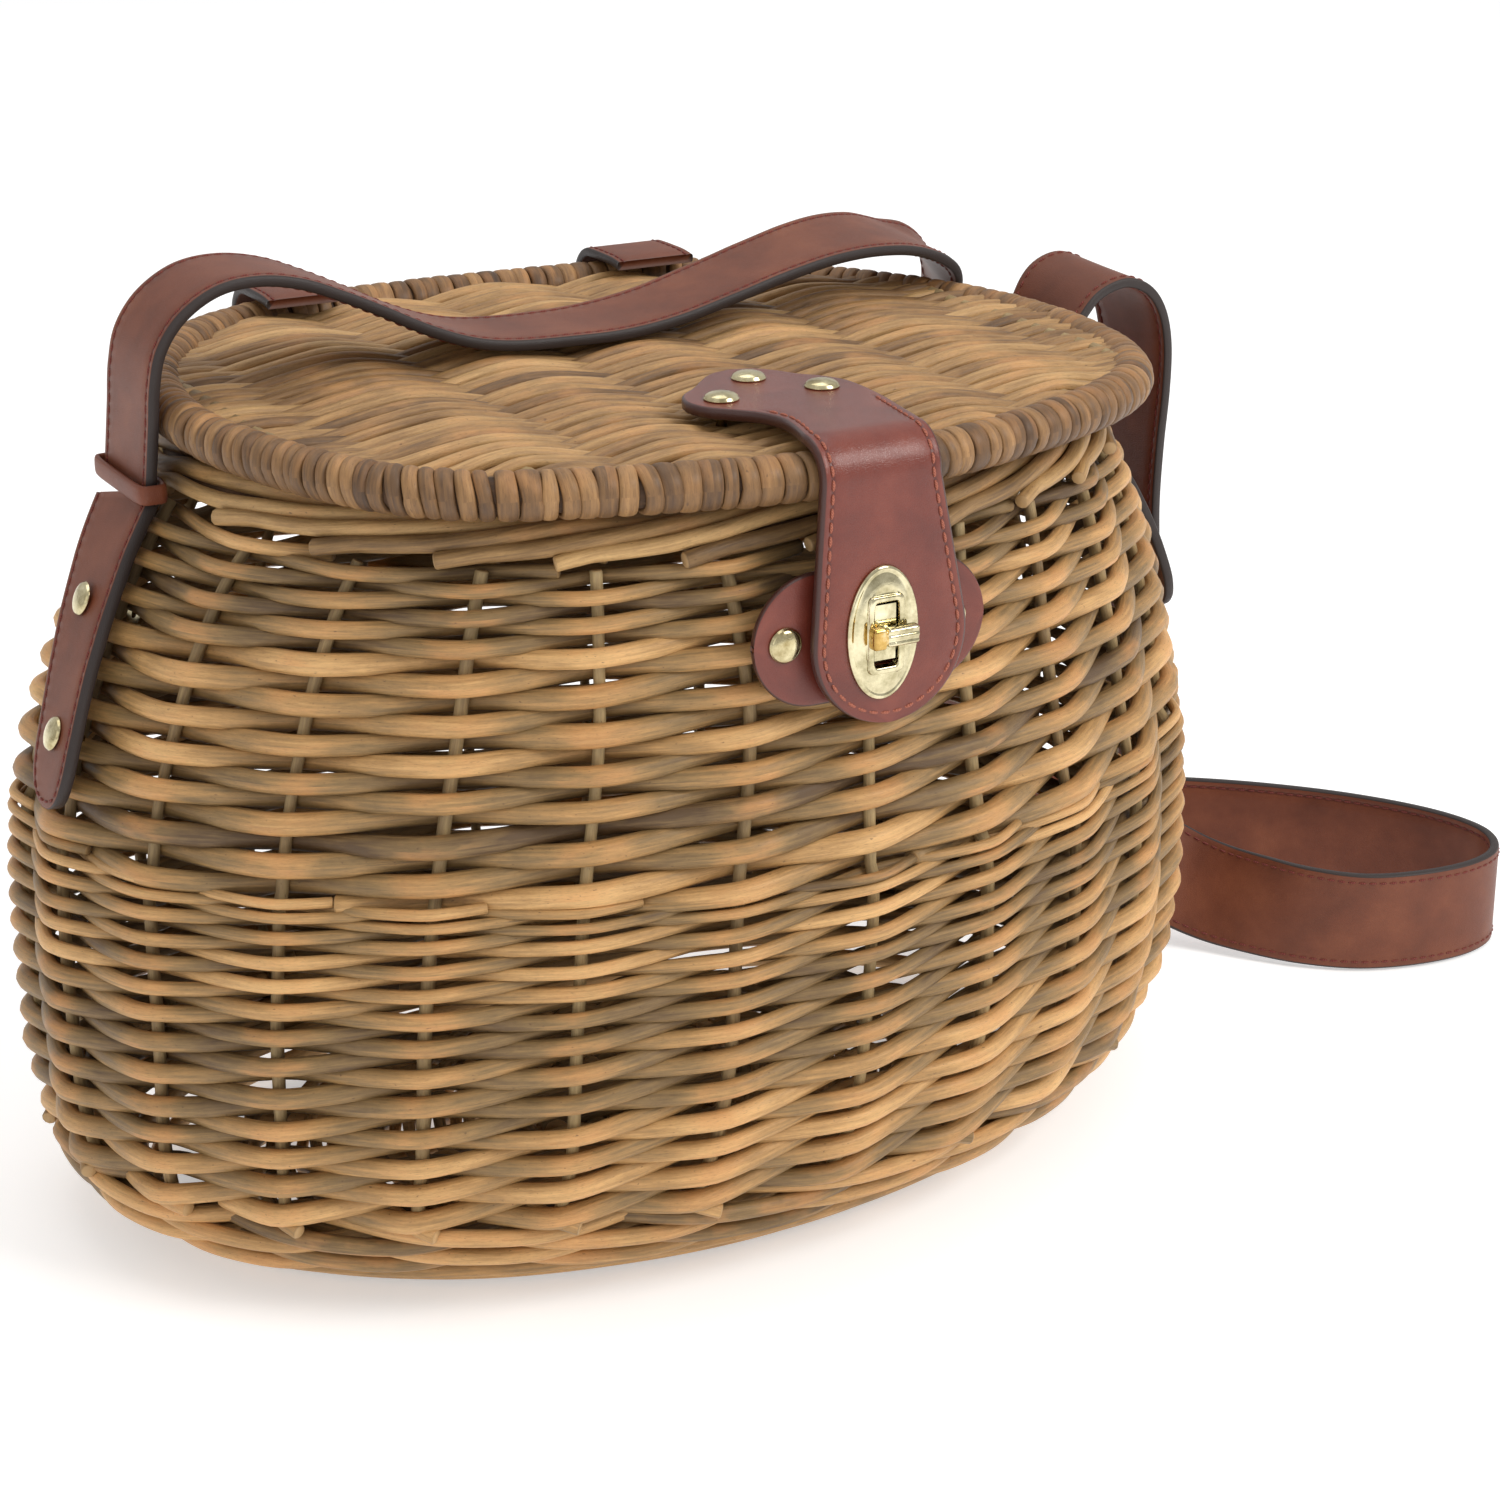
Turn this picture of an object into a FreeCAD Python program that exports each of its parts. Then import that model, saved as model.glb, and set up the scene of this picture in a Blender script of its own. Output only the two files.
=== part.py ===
import FreeCAD, Part
import math, os

# Wicker fishing creel: willow basket with a D-shaped belly, a flat woven lid on two
# leather hinges, a leather clasp flap with a brass turn-lock, and a leather shoulder strap.
# Millimetres. X runs along the width, -Y is the front with the clasp, +Y is the hinge side,
# +Z is up. The origin is on the floor under the middle of the basket.

V = FreeCAD.Vector
os.makedirs("parts", exist_ok=True)
doc = FreeCAD.newDocument("wicker_creel")

# ------------------------------------------------------------------ driving sizes
sheet = doc.addObject("Spreadsheet::Sheet", "Sheet")
SIZES = [
    ("rim_top", 217.5), ("band_split", 103.5), ("wall_thick", 8.0), ("rim_wide", 12.0),
    ("rim_high", 12.0), ("stake_dia", 5.2), ("stake_inset", 13.4), ("stake_count", 24),
    ("base_major", 118.5), ("base_minor", 70.5), ("base_mid_y", -3.5), ("base_mid_x", -5.5),
    ("base_low", 0.0), ("base_thick", 6.0), ("base_stick_dia", 4.8),
    ("hoop_z", 226.5), ("hoop_rad", 7.0), ("lid_low", 224.8), ("lid_thick", 8.8),
    ("lid_stick_dia", 5.4), ("lid_stick_z", 221.9),
    ("leather", 2.6), ("flap_leather", 3.0), ("clasp_x", -1.5), ("lock_z", 188.0), ("flap_end_x", 2.8),
    ("flap_inner_y", 134.4), ("flap_end_rad", 21.5), ("flap_end_z", 186.0), ("flap_top_half", 16.5),
    ("patch_y", 130.4), ("patch_half", 15.5), ("patch_rad", 17.0), ("patch_thick", 1.8),
    ("plate_major", 17.0), ("plate_minor", 10.0), ("plate_thick", 1.2),
    ("slot_wide", 7.0), ("slot_high", 16.5), ("frame_wide", 10.0), ("frame_high", 19.5),
    ("frame_rise", 1.0), ("knob_long", 14.2), ("knob_high", 5.2), ("knob_deep", 3.3),
    ("pin_dia", 4.4), ("bore_dia", 4.5), ("boss_dia", 8.6),
    ("rivet_head_dia", 9.0), ("rivet_head_high", 2.0), ("rivet_shank_dia", 3.0),
    ("burr_dia", 8.8), ("burr_thick", 1.0), ("hole_dia", 3.3),
    ("strap_wide", 32.5), ("strap_thick", 3.0), ("tab_thick", 3.4), ("tab_stand_off", 1.2),
    ("keeper_high", 5.0), ("keeper_wall", 1.8),
    ("hinge_wide", 25.0), ("hinge_left_x", -62.0), ("hinge_right_x", 46.0),
    ("hinge_axis_y", 99.2), ("hinge_axis_z", 218.6), ("hinge_tail_low", 198.0),
]
P = {}
for row, (name, val) in enumerate(SIZES, start=1):
    sheet.set("A%d" % row, name)
    sheet.set("B%d" % row, str(val))
    sheet.setAlias("B%d" % row, name)
doc.recompute()
for name, val in SIZES:
    P[name] = float(getattr(sheet, name))

NODES = []


def keep(obj, label):
    obj.Label = label
    NODES.append(obj)
    return obj


# ------------------------------------------------------------------ body outline
# Height, half width, front depth, back depth, front and back roundness, sideways drift.
LEVELS = [
    (0.0, 128.5, 83.0, 76.0, 2.0, 2.3, -5.5),
    (5.5, 146.0, 96.0, 86.0, 2.0, 2.4, -5.5),
    (15.0, 160.0, 107.0, 92.5, 1.95, 2.5, -4.5),
    (33.0, 169.5, 119.5, 98.0, 1.92, 2.5, -3.0),
    (54.5, 173.5, 127.5, 101.5, 1.9, 2.6, -1.5),
    (82.0, 174.5, 132.0, 103.0, 1.88, 2.6, -1.0),
    (109.0, 173.5, 133.0, 103.0, 1.86, 2.6, -1.0),
    (136.0, 168.5, 132.5, 102.0, 1.85, 2.6, -1.0),
    (163.5, 159.0, 130.5, 100.0, 1.9, 2.5, -0.5),
    (191.0, 144.0, 126.5, 96.5, 2.1, 2.4, -1.0),
    (218.0, 123.0, 121.0, 93.0, 2.5, 2.3, -2.0),
]


def smooth(xs, ys, x):
    """Monotone cubic through the level table."""
    n = len(xs)
    if x <= xs[0]:
        return ys[0]
    if x >= xs[-1]:
        return ys[-1]
    h = [xs[i + 1] - xs[i] for i in range(n - 1)]
    d = [(ys[i + 1] - ys[i]) / h[i] for i in range(n - 1)]
    m = [0.0] * n
    m[0], m[-1] = d[0], d[-1]
    for i in range(1, n - 1):
        if d[i - 1] * d[i] > 0:
            w1, w2 = 2 * h[i] + h[i - 1], h[i] + 2 * h[i - 1]
            m[i] = (w1 + w2) / (w1 / d[i - 1] + w2 / d[i])
    i = max(k for k in range(n - 1) if xs[k] <= x)
    t = (x - xs[i]) / h[i]
    return ((2 * t ** 3 - 3 * t ** 2 + 1) * ys[i] + (t ** 3 - 2 * t ** 2 + t) * h[i] * m[i]
            + (-2 * t ** 3 + 3 * t ** 2) * ys[i + 1] + (t ** 3 - t ** 2) * h[i] * m[i + 1])


def level(z):
    zs = [r[0] for r in LEVELS]
    return [smooth(zs, [r[k] for r in LEVELS], z) for k in range(1, 7)]


def wall_point(ang, z, off=0.0):
    w, f, b, nf, nb, cx = level(z)
    c, s = math.cos(ang), math.sin(ang)
    n = nf if s < 0 else nb
    d = (f if s < 0 else b) + off
    x = (w + off) * math.copysign(abs(c) ** (2 / n), c) + cx
    y = d * math.copysign(abs(s) ** (2 / n), s)
    return V(x, y, z)


def wall_x(y, z, side, off=0.0):
    """x of the wall's outer face at a given y, on the right (1) or left (-1) end."""
    w, f, b, nf, nb, cx = level(z)
    n, d = (nf, f) if y < 0 else (nb, b)
    return cx + side * ((w + off) * (1 - min(abs(y) / (d + off), 1.0) ** n) ** (1 / n))


def wall_y(x, z, off=0.0):
    """y of the wall's outer face at a given x on the hinge side."""
    w, f, b, nf, nb, cx = level(z)
    return (b + off) * (1 - min(abs(x - cx) / (w + off), 1.0) ** nb) ** (1 / nb)


def closed_wire(points):
    curve = Part.BSplineCurve()
    curve.interpolate(Points=points, PeriodicFlag=True)
    return Part.Wire([curve.toShape()])


def ring_wire(z, off, count=48):
    return closed_wire([wall_point(2 * math.pi * (k + 0.5) / count, z, off) for k in range(count)])


def stack(zs, off):
    return Part.makeLoft([ring_wire(z, off) for z in zs], True, False)


def between(lo, hi):
    inner = [r[0] for r in LEVELS if lo + 4 < r[0] < hi - 4]
    return [lo] + inner + [hi]


def feature(label, shape):
    obj = doc.addObject("Part::Feature", label)
    obj.Shape = shape
    return keep(obj, label)


def punch(shape, holes):
    for centre, axis, dia, length in holes:
        a = V(*axis)
        a.normalize()
        c = V(*centre) - a * (length / 2.0)
        shape = shape.cut(Part.makeCylinder(dia / 2.0, length, c, a))
    return shape


# ------------------------------------------------------------------ places of the fasteners
cx, lock_z = P["clasp_x"], P["lock_z"]
PATCH_RIVETS = [(cx - 24.0, lock_z - 1.0), (cx + 24.0, lock_z - 1.0)]
HEAD_RIVETS = [(-19.0, -89.0), (-3.0, -74.0), (9.0, -90.0)]
# tab rivets: height and y of each, the same on both ends
TAB_RIVETS = [(180.5, -1.6), (149.5, -11.4)]
TAB_LINE = [  # z, centre y, half width
    (205.5, 8.0, 16.2), (192.0, 3.0, 15.3), (182.0, -1.0, 14.3), (172.0, -5.0, 13.4),
    (162.0, -8.0, 12.7), (152.5, -10.7, 12.2), (144.0, -12.4, 11.8), (138.5, -13.2, 10.2),
    (134.5, -13.7, 6.5), (133.0, -13.9, 2.6)]


def tab_axis(side):
    """Outward direction of the tab between its two rivets."""
    (z1, y1), (z2, y2) = TAB_RIVETS
    a = V(wall_x(y1, z1, side), y1, z1)
    b = V(wall_x(y2, z2, side), y2, z2)
    along = (a - b)
    along.normalize()
    across = V(0, 1, 0) - along * along.y
    across.normalize()
    out = along.cross(across) * (-1)
    if out.x * side < 0:
        out = out * (-1)
    return a, b, along, out


# ------------------------------------------------------------------ woven walls
def shell(lo, hi):
    zs = between(lo, hi)
    outer = stack(zs, 0.0)
    zi = between(lo, hi)
    zi[0] -= 1.0 if lo > 0 else 0.0
    inner = stack([z for z in zi], -P["wall_thick"])
    cap_hi = ring_wire(hi, -P["wall_thick"]).BoundBox
    plug = Part.makeLoft([ring_wire(hi, -P["wall_thick"]),
                          ring_wire(hi, -P["wall_thick"] - 0.5).translated(V(0, 0, 2))], True, True)
    res = outer.cut(inner).cut(plug)
    if lo <= 0:
        low = Part.makeLoft([ring_wire(lo, -P["wall_thick"] - 0.5).translated(V(0, 0, -2)),
                             ring_wire(lo, -P["wall_thick"])], True, True)
        res = res.cut(low)
    return res


wall_holes = []
for x, z in PATCH_RIVETS:
    wall_holes.append(((x, -118.0, z), (0, -1, 0), P["hole_dia"], 60.0))
for side in (-1, 1):
    a, b, along, out = tab_axis(side)
    for p in (a, b):
        wall_holes.append(((p.x, p.y, p.z), (out.x, out.y, out.z), P["hole_dia"], 50.0))

lower = shell(0.0, P["band_split"])
feature("lower_weave", lower)
upper = punch(shell(P["band_split"] + 0.2, P["rim_top"] - P["rim_high"] - 0.2), wall_holes)
feature("upper_weave", upper)

# rolled border of the rim
z0, z1 = P["rim_top"] - P["rim_high"], P["rim_top"]
zm = (z0 + z1) / 2
outer = Part.makeLoft([ring_wire(z0, 0.2), ring_wire(zm, 1.2), ring_wire(z1, -1.0)], True, False)
inner = Part.makeLoft([ring_wire(z0, -P["rim_wide"]).translated(V(0, 0, -1)), ring_wire(zm, -P["rim_wide"] - 0.3),
                       ring_wire(z1, -P["rim_wide"]).translated(V(0, 0, 1))], True, False)
feature("rim_border", outer.cut(inner))

# upright stakes inside the woven wall
stakes = []
n_stakes = int(P["stake_count"])
for k in range(n_stakes):
    ang = 2 * math.pi * (k + 0.5) / n_stakes
    pts = [wall_point(ang, z, -P["stake_inset"]) for z in (34, 55, 82, 109, 136, 163.5, 186, 202.4)]
    curve = Part.BSplineCurve()
    curve.interpolate(Points=pts)
    path = Part.Wire([curve.toShape()])
    start, tan = pts[0], curve.tangent(curve.FirstParameter)[0]
    ring = Part.Wire([Part.makeCircle(P["stake_dia"] / 2.0, start, tan)])
    stakes.append(path.makePipeShell([ring], True, False))
feature("side_stakes", Part.makeCompound(stakes))

# ------------------------------------------------------------------ base
oval = doc.addObject("Part::Ellipse", "base_oval")
oval.setExpression("MajorRadius", "Sheet.base_major")
oval.setExpression("MinorRadius", "Sheet.base_minor")
base = doc.addObject("Part::Extrusion", "base_weave")
base.Base = oval
base.DirMode = "Custom"
base.Dir = V(0, 0, 1)
base.Solid = True
base.setExpression("LengthFwd", "Sheet.base_thick")
base.Placement = FreeCAD.Placement(V(P["base_mid_x"], P["base_mid_y"], P["base_low"]), FreeCAD.Rotation())
keep(base, "base_weave")

sticks = []
for k, (y, half) in enumerate([(-58.0, 92.0), (-32.0, 116.0), (-5.0, 124.0), (22.0, 116.0), (48.0, 96.0)]):
    c = doc.addObject("Part::Cylinder", "base_stick_%d" % (k + 1))
    c.setExpression("Radius", "Sheet.base_stick_dia / 2")
    c.Height = 2 * half
    c.Placement = FreeCAD.Placement(V(P["base_mid_x"] - half, y, P["base_low"] + P["base_thick"] + P["base_stick_dia"] / 2 + 0.1),
                                    FreeCAD.Rotation(V(0, 1, 0), 90))
    sticks.append(c)
grp = doc.addObject("Part::Compound", "base_sticks")
grp.Links = sticks
keep(grp, "base_sticks")

# ------------------------------------------------------------------ lid
LID_LINE = [  # centre line of the wrapped hoop
    (0, -127), (28, -124.5), (58, -115.5), (86, -103), (106, -86), (117, -62), (120.5, -35),
    (119, -10), (112, 15), (99, 40), (80, 65), (58, 82), (34, 88.5), (8, 91), (-20, 92), (-48, 91),
    (-72, 87), (-94, 75), (-112, 53), (-123, 25), (-128, -2), (-128, -25), (-124.5, -45),
    (-117, -69), (-106, -90), (-90, -105), (-70, -113.5), (-45, -121), (-22, -126)]


def lid_wire(off, z, grow=0.0):
    pts = []
    n = len(LID_LINE)
    for i in range(n):
        a, b, c = LID_LINE[i - 1], LID_LINE[i], LID_LINE[(i + 1) % n]
        t = V(c[0] - a[0], c[1] - a[1], 0)
        t.normalize()
        pts.append(V(b[0] + t.y * off, b[1] - t.x * off, z))
    return closed_wire(pts)


def lid_y(x, back):
    """y of the hoop's centre line at x, on the back or the front half."""
    n, best = len(LID_LINE), None
    for i in range(n):
        (x1, y1), (x2, y2) = LID_LINE[i], LID_LINE[(i + 1) % n]
        if min(x1, x2) <= x <= max(x1, x2) and x1 != x2:
            y = y1 + (y2 - y1) * (x - x1) / (x2 - x1)
            if best is None or (y > best if back else y < best):
                best = y
    return best


spine = lid_wire(0.0, P["hoop_z"])
s_edge = spine.Edges[0]
p0 = s_edge.valueAt(s_edge.FirstParameter)
t0 = s_edge.tangentAt(s_edge.FirstParameter)
ring = Part.Wire([Part.makeCircle(P["hoop_rad"], p0, t0)])
hoop = spine.makePipe(ring)
if not hoop.Solids:
    hoop = Part.makeSolid(Part.makeShell(hoop.Faces))
if hoop.Volume < 0:
    hoop.reverse()
feature("lid_border", hoop)

plate = Part.Face(lid_wire(-P["hoop_rad"] - 0.2, P["lid_low"])).extrude(V(0, 0, P["lid_thick"]))
plate = punch(plate, [((x, y, P["hoop_z"]), (0, 0, 1), P["hole_dia"], 40.0) for x, y in HEAD_RIVETS])
feature("lid_weave", plate)

ribs = []
for k, x in enumerate((-95.0, -67.0, -39.0, -11.0, 17.0, 45.0, 73.0, 101.0)):
    lo, hi = lid_y(x, False) + P["hoop_rad"] + 3.6, lid_y(x, True) - P["hoop_rad"] - 3.6
    if abs(x) > 90:
        lo, hi = lo + 6, hi - 6
    c = doc.addObject("Part::Cylinder", "lid_stick_%d" % (k + 1))
    c.setExpression("Radius", "Sheet.lid_stick_dia / 2")
    c.Height = hi - lo
    c.Placement = FreeCAD.Placement(V(x, hi, P["lid_stick_z"]), FreeCAD.Rotation(V(1, 0, 0), 90))
    ribs.append(c)
grp = doc.addObject("Part::Compound", "lid_sticks")
grp.Links = ribs
keep(grp, "lid_sticks")


# ------------------------------------------------------------------ leather hinges
def profile_body(label, x, pts, width_expr):
    """A closed profile in the YZ plane, padded along X about x."""
    body = doc.addObject("PartDesign::Body", label)
    sk = body.newObject("Sketcher::SketchObject", label + "_profile")
    plane = [f for f in body.Origin.OriginFeatures if f.Role == "YZ_Plane"][0]
    sk.AttachmentSupport = [(plane, "")]
    sk.MapMode = "FlatFace"
    n = len(pts)
    for i in range(n):
        a, b = pts[i], pts[(i + 1) % n]
        sk.addGeometry(Part.LineSegment(V(a[0], a[1], 0), V(b[0], b[1], 0)), False)
    import Sketcher
    for i in range(n):
        sk.addConstraint(Sketcher.Constraint("Coincident", i, 2, (i + 1) % n, 1))
    pad = body.newObject("PartDesign::Pad", label + "_pad")
    pad.Profile = sk
    pad.Midplane = True
    pad.setExpression("Length", width_expr)
    body.Tip = pad
    body.Placement = FreeCAD.Placement(V(x, 0, 0), FreeCAD.Rotation())
    return keep(body, label)


def arc_pts(cy, cz, rad, a0, a1, steps):
    return [(cy + rad * math.cos(math.radians(a0 + (a1 - a0) * i / steps)),
             cz + rad * math.sin(math.radians(a0 + (a1 - a0) * i / steps))) for i in range(steps + 1)]


ay, az, lt = P["hinge_axis_y"], P["hinge_axis_z"], P["leather"]
for side, hx in (("left", P["hinge_left_x"]), ("right", P["hinge_right_x"])):
    hw = P["hinge_wide"] / 2
    hy = max(lid_y(hx - hw, True), lid_y(hx, True), lid_y(hx + hw, True)) + 0.3
    ri = P["hoop_rad"] + 0.5
    ro = ri + lt
    top = P["hoop_z"]
    # lid side: from the top of the lid over the hoop and down its back to the flex line
    outer_pts = [(hy - 19.0, top + ro)] + arc_pts(hy, top, ro, 90, 0, 8)
    outer_pts += [(ay, az + 3.0), (ay, az + 0.2)]
    inner_pts = [(ay - lt, az + 0.2), (max(hy + ri, ay - lt - 1.2), az + 4.0)]
    inner_pts += arc_pts(hy, top, ri, 0, 90, 8) + [(hy - 19.0, top + ri)]
    pts = []
    for q in outer_pts + inner_pts:
        if not pts or (abs(q[0] - pts[-1][0]) + abs(q[1] - pts[-1][1])) > 0.05:
            pts.append(q)
    profile_body("hinge_%s_lid_loop" % side, hx, pts, "Sheet.hinge_wide")
    # basket side: hangs down the back of the rim
    zl = P["hinge_tail_low"]
    wall = [max(wall_y(q, z) for q in (hx - hw, hx, hx + hw)) + 0.4 for z in (zl, zl + 7.0)]
    pts = [(ay, az - 0.2), (wall[1] + lt, zl + 7.6), (wall[0] + lt, zl), (wall[0], zl), (wall[1], zl + 6.4), (ay - lt, az - 0.2)]
    profile_body("hinge_%s_rim_loop" % side, hx, pts, "Sheet.hinge_wide")


# ------------------------------------------------------------------ rivets and burrs
FRONT = FreeCAD.Rotation(V(1, 0, 0), 90)  # local Z to the front, local Y up


def rivet(name, shank, place, spacing=None):
    """Domed tubular rivet along local Z; the head's seat is at local Z = 0."""
    import Sketcher
    body = doc.addObject("PartDesign::Body", name)
    body.AllowCompound = True
    sk = body.newObject("Sketcher::SketchObject", name + "_section")
    plane = [f for f in body.Origin.OriginFeatures if f.Role == "XZ_Plane"][0]
    sk.AttachmentSupport = [(plane, "")]
    sk.MapMode = "FlatFace"
    R, hh, r = P["rivet_head_dia"] / 2, P["rivet_head_high"], P["rivet_shank_dia"] / 2
    rim = 0.5
    # dome as an arc from the rim edge to the crown
    rad = (R * R + (hh - rim) ** 2) / (2 * (hh - rim))
    cz = hh - rad
    a0 = math.atan2(rim - cz, R)
    g = [Part.LineSegment(V(0, -shank, 0), V(r, -shank, 0)),
         Part.LineSegment(V(r, -shank, 0), V(r, 0, 0)),
         Part.LineSegment(V(r, 0, 0), V(R, 0, 0)),
         Part.LineSegment(V(R, 0, 0), V(R, rim, 0)),
         Part.ArcOfCircle(Part.Circle(V(0, cz, 0), V(0, 0, 1), rad), a0, math.pi / 2),
         Part.LineSegment(V(0, hh, 0), V(0, -shank, 0))]
    for q in g:
        sk.addGeometry(q, False)
    for i in range(4):
        if i != 3:
            sk.addConstraint(Sketcher.Constraint("Coincident", i, 2, i + 1, 1))
    sk.addConstraint(Sketcher.Constraint("Coincident", 3, 2, 4, 1))
    sk.addConstraint(Sketcher.Constraint("Coincident", 4, 2, 5, 1))
    sk.addConstraint(Sketcher.Constraint("Coincident", 5, 2, 0, 1))
    sk.addConstraint(Sketcher.Constraint("Vertical", 5))
    sk.addConstraint(Sketcher.Constraint("Horizontal", 0))
    sk.addConstraint(Sketcher.Constraint("Vertical", 1))
    sk.addConstraint(Sketcher.Constraint("Horizontal", 2))
    sk.addConstraint(Sketcher.Constraint("Vertical", 3))
    sk.addConstraint(Sketcher.Constraint("PointOnObject", 5, 1, -2))
    sk.addConstraint(Sketcher.Constraint("PointOnObject", 4, 3, -2))
    sk.addConstraint(Sketcher.Constraint("PointOnObject", 1, 2, -1))
    k = sk.addConstraint(Sketcher.Constraint("DistanceX", 0, 1, 0, 2, r))
    sk.setExpression("Constraints[%d]" % k, "Sheet.rivet_shank_dia / 2")
    k = sk.addConstraint(Sketcher.Constraint("DistanceX", 5, 1, 2, 2, R))
    sk.setExpression("Constraints[%d]" % k, "Sheet.rivet_head_dia / 2")
    k = sk.addConstraint(Sketcher.Constraint("DistanceY", 3, 1, 3, 2, rim))
    k = sk.addConstraint(Sketcher.Constraint("DistanceY", 0, 2, 1, 2, shank))
    k = sk.addConstraint(Sketcher.Constraint("DistanceY", -1, 1, 4, 2, hh))
    sk.setExpression("Constraints[%d]" % k, "Sheet.rivet_head_high")
    rev = body.newObject("PartDesign::Revolution", name + "_turn")
    rev.Profile = sk
    rev.ReferenceAxis = (sk, ["V_Axis"])
    rev.Angle = 360
    body.Tip = rev
    if spacing is not None:
        doc.recompute()
        pat = body.newObject("PartDesign::LinearPattern", name + "_row")
        pat.Originals = [rev]
        axis = [f for f in body.Origin.OriginFeatures if f.Role == "X_Axis"][0]
        pat.Direction = (axis, [""])
        pat.Length = spacing
        pat.Occurrences = 2
        body.Tip = pat
    body.Placement = place
    return body


def burr(name, place):
    """Washer that the shank's end is set over: local Z from 0 to its thickness."""
    a = doc.addObject("Part::Cylinder", name + "_disc")
    a.setExpression("Radius", "Sheet.burr_dia / 2")
    a.setExpression("Height", "Sheet.burr_thick")
    b = doc.addObject("Part::Cylinder", name + "_hole")
    b.setExpression("Radius", "Sheet.hole_dia / 2")
    b.setExpression("Height", "Sheet.burr_thick + 2")
    b.Placement = FreeCAD.Placement(V(0, 0, -1), FreeCAD.Rotation())
    c = doc.addObject("Part::Cut", name)
    c.Base, c.Tool = a, b
    c.Placement = place
    return c


def frame_rot(zdir, xdir):
    z = V(zdir.x, zdir.y, zdir.z)
    z.normalize()
    x = xdir - z * xdir.dot(z)
    x.normalize()
    y = z.cross(x)
    m = FreeCAD.Matrix(x.x, y.x, z.x, 0, x.y, y.y, z.y, 0, x.z, y.z, z.z, 0, 0, 0, 0, 1)
    return FreeCAD.Placement(m).Rotation


# keeper patch rivets: seat on the patch's front face
seat = -(P["patch_y"] + P["patch_thick"]) - 0.02
inner_y = {}
for x, z in PATCH_RIVETS:
    # inner face of the wall behind the rivet
    w, f, b, nf, nb, drift = level(z)
    xi = x - drift
    inner_y[x] = -(f - P["wall_thick"]) * (1 - (abs(xi) / (w - P["wall_thick"])) ** nf) ** (1 / nf)
deep = max(inner_y.values()) + 2.2
body = rivet("patch_rivet_pair", deep - seat, FreeCAD.Placement(V(PATCH_RIVETS[0][0], seat, PATCH_RIVETS[0][1]), FRONT),
             PATCH_RIVETS[1][0] - PATCH_RIVETS[0][0])
keep(body, "keeper_patch_rivets")
rings = []
for i, (x, z) in enumerate(PATCH_RIVETS):
    rings.append(burr("patch_burr_%d" % (i + 1), FreeCAD.Placement(V(x, deep - 0.2, z), FRONT)))
grp = doc.addObject("Part::Compound", "keeper_patch_burrs")
grp.Links = rings
keep(grp, "keeper_patch_burrs")

# tab rivets, one pair on each end, and their burrs inside
rings = []
for side, tag in ((-1, "left"), (1, "right")):
    a, b, along, out = tab_axis(side)
    rot = frame_rot(out, along * (-1))
    lift = P["tab_stand_off"] + P["tab_thick"] + 0.9
    gap = (a - b).Length
    body = rivet("tab_%s_rivet_pair" % tag, lift + P["wall_thick"] + 2.6,
                 FreeCAD.Placement(a + out * lift, rot), gap)
    keep(body, "tab_%s_rivets" % tag)
    for i, p in enumerate((a, b)):
        rings.append(burr("tab_burr_%s_%d" % (tag, i + 1), FreeCAD.Placement(p - out * (P["wall_thick"] + 2.2), rot)))
grp = doc.addObject("Part::Compound", "tab_rivet_burrs")
grp.Links = rings
keep(grp, "tab_rivet_burrs")

# rivets of the clasp's head, through the lid
head_seat = P["hoop_z"] + P["hoop_rad"] + 0.4 + P["flap_leather"] + 0.02
reach = head_seat - P["lid_low"] + 1.6
pair = rivet("head_rivet_pair", reach, FreeCAD.Placement(V(HEAD_RIVETS[0][0], HEAD_RIVETS[0][1], head_seat),
             frame_rot(V(0, 0, 1), V(HEAD_RIVETS[2][0] - HEAD_RIVETS[0][0], HEAD_RIVETS[2][1] - HEAD_RIVETS[0][1], 0))),
             math.hypot(HEAD_RIVETS[2][0] - HEAD_RIVETS[0][0], HEAD_RIVETS[2][1] - HEAD_RIVETS[0][1]))
rear = rivet("head_rivet_rear", reach, FreeCAD.Placement(V(HEAD_RIVETS[1][0], HEAD_RIVETS[1][1], head_seat), FreeCAD.Rotation()))
grp = doc.addObject("Part::Compound", "flap_head_rivets")
grp.Links = [pair, rear]
keep(grp, "flap_head_rivets")
rings = []
for i, (x, y) in enumerate(HEAD_RIVETS):
    rings.append(burr("head_burr_%d" % (i + 1), FreeCAD.Placement(V(x, y, P["lid_low"] - P["burr_thick"] - 0.1), FreeCAD.Rotation())))
grp = doc.addObject("Part::Compound", "flap_rivet_burrs")
grp.Links = rings
keep(grp, "flap_rivet_burrs")


# ------------------------------------------------------------------ clasp on the basket
def prim(kind, name, place, **exprs):
    o = doc.addObject(kind, name)
    for k, e in exprs.items():
        o.setExpression(k, e)
    o.Placement = place
    return o


def stadium(name, half_expr, rad_expr, thick_expr, half, rad):
    """Flat piece with round ends along local X, from local Z = 0 up."""
    I = FreeCAD.Rotation()
    mid = prim("Part::Box", name + "_mid", FreeCAD.Placement(V(-half, -rad, 0), I),
               Length="2 * (%s)" % half_expr, Width="2 * (%s)" % rad_expr, Height=thick_expr)
    e1 = prim("Part::Cylinder", name + "_end_a", FreeCAD.Placement(V(-half, 0, 0), I), Radius=rad_expr, Height=thick_expr)
    e2 = prim("Part::Cylinder", name + "_end_b", FreeCAD.Placement(V(half, 0, 0), I), Radius=rad_expr, Height=thick_expr)
    f = doc.addObject("Part::MultiFuse", name)
    f.Shapes = [mid, e1, e2]
    f.Refine = True
    return f


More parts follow.
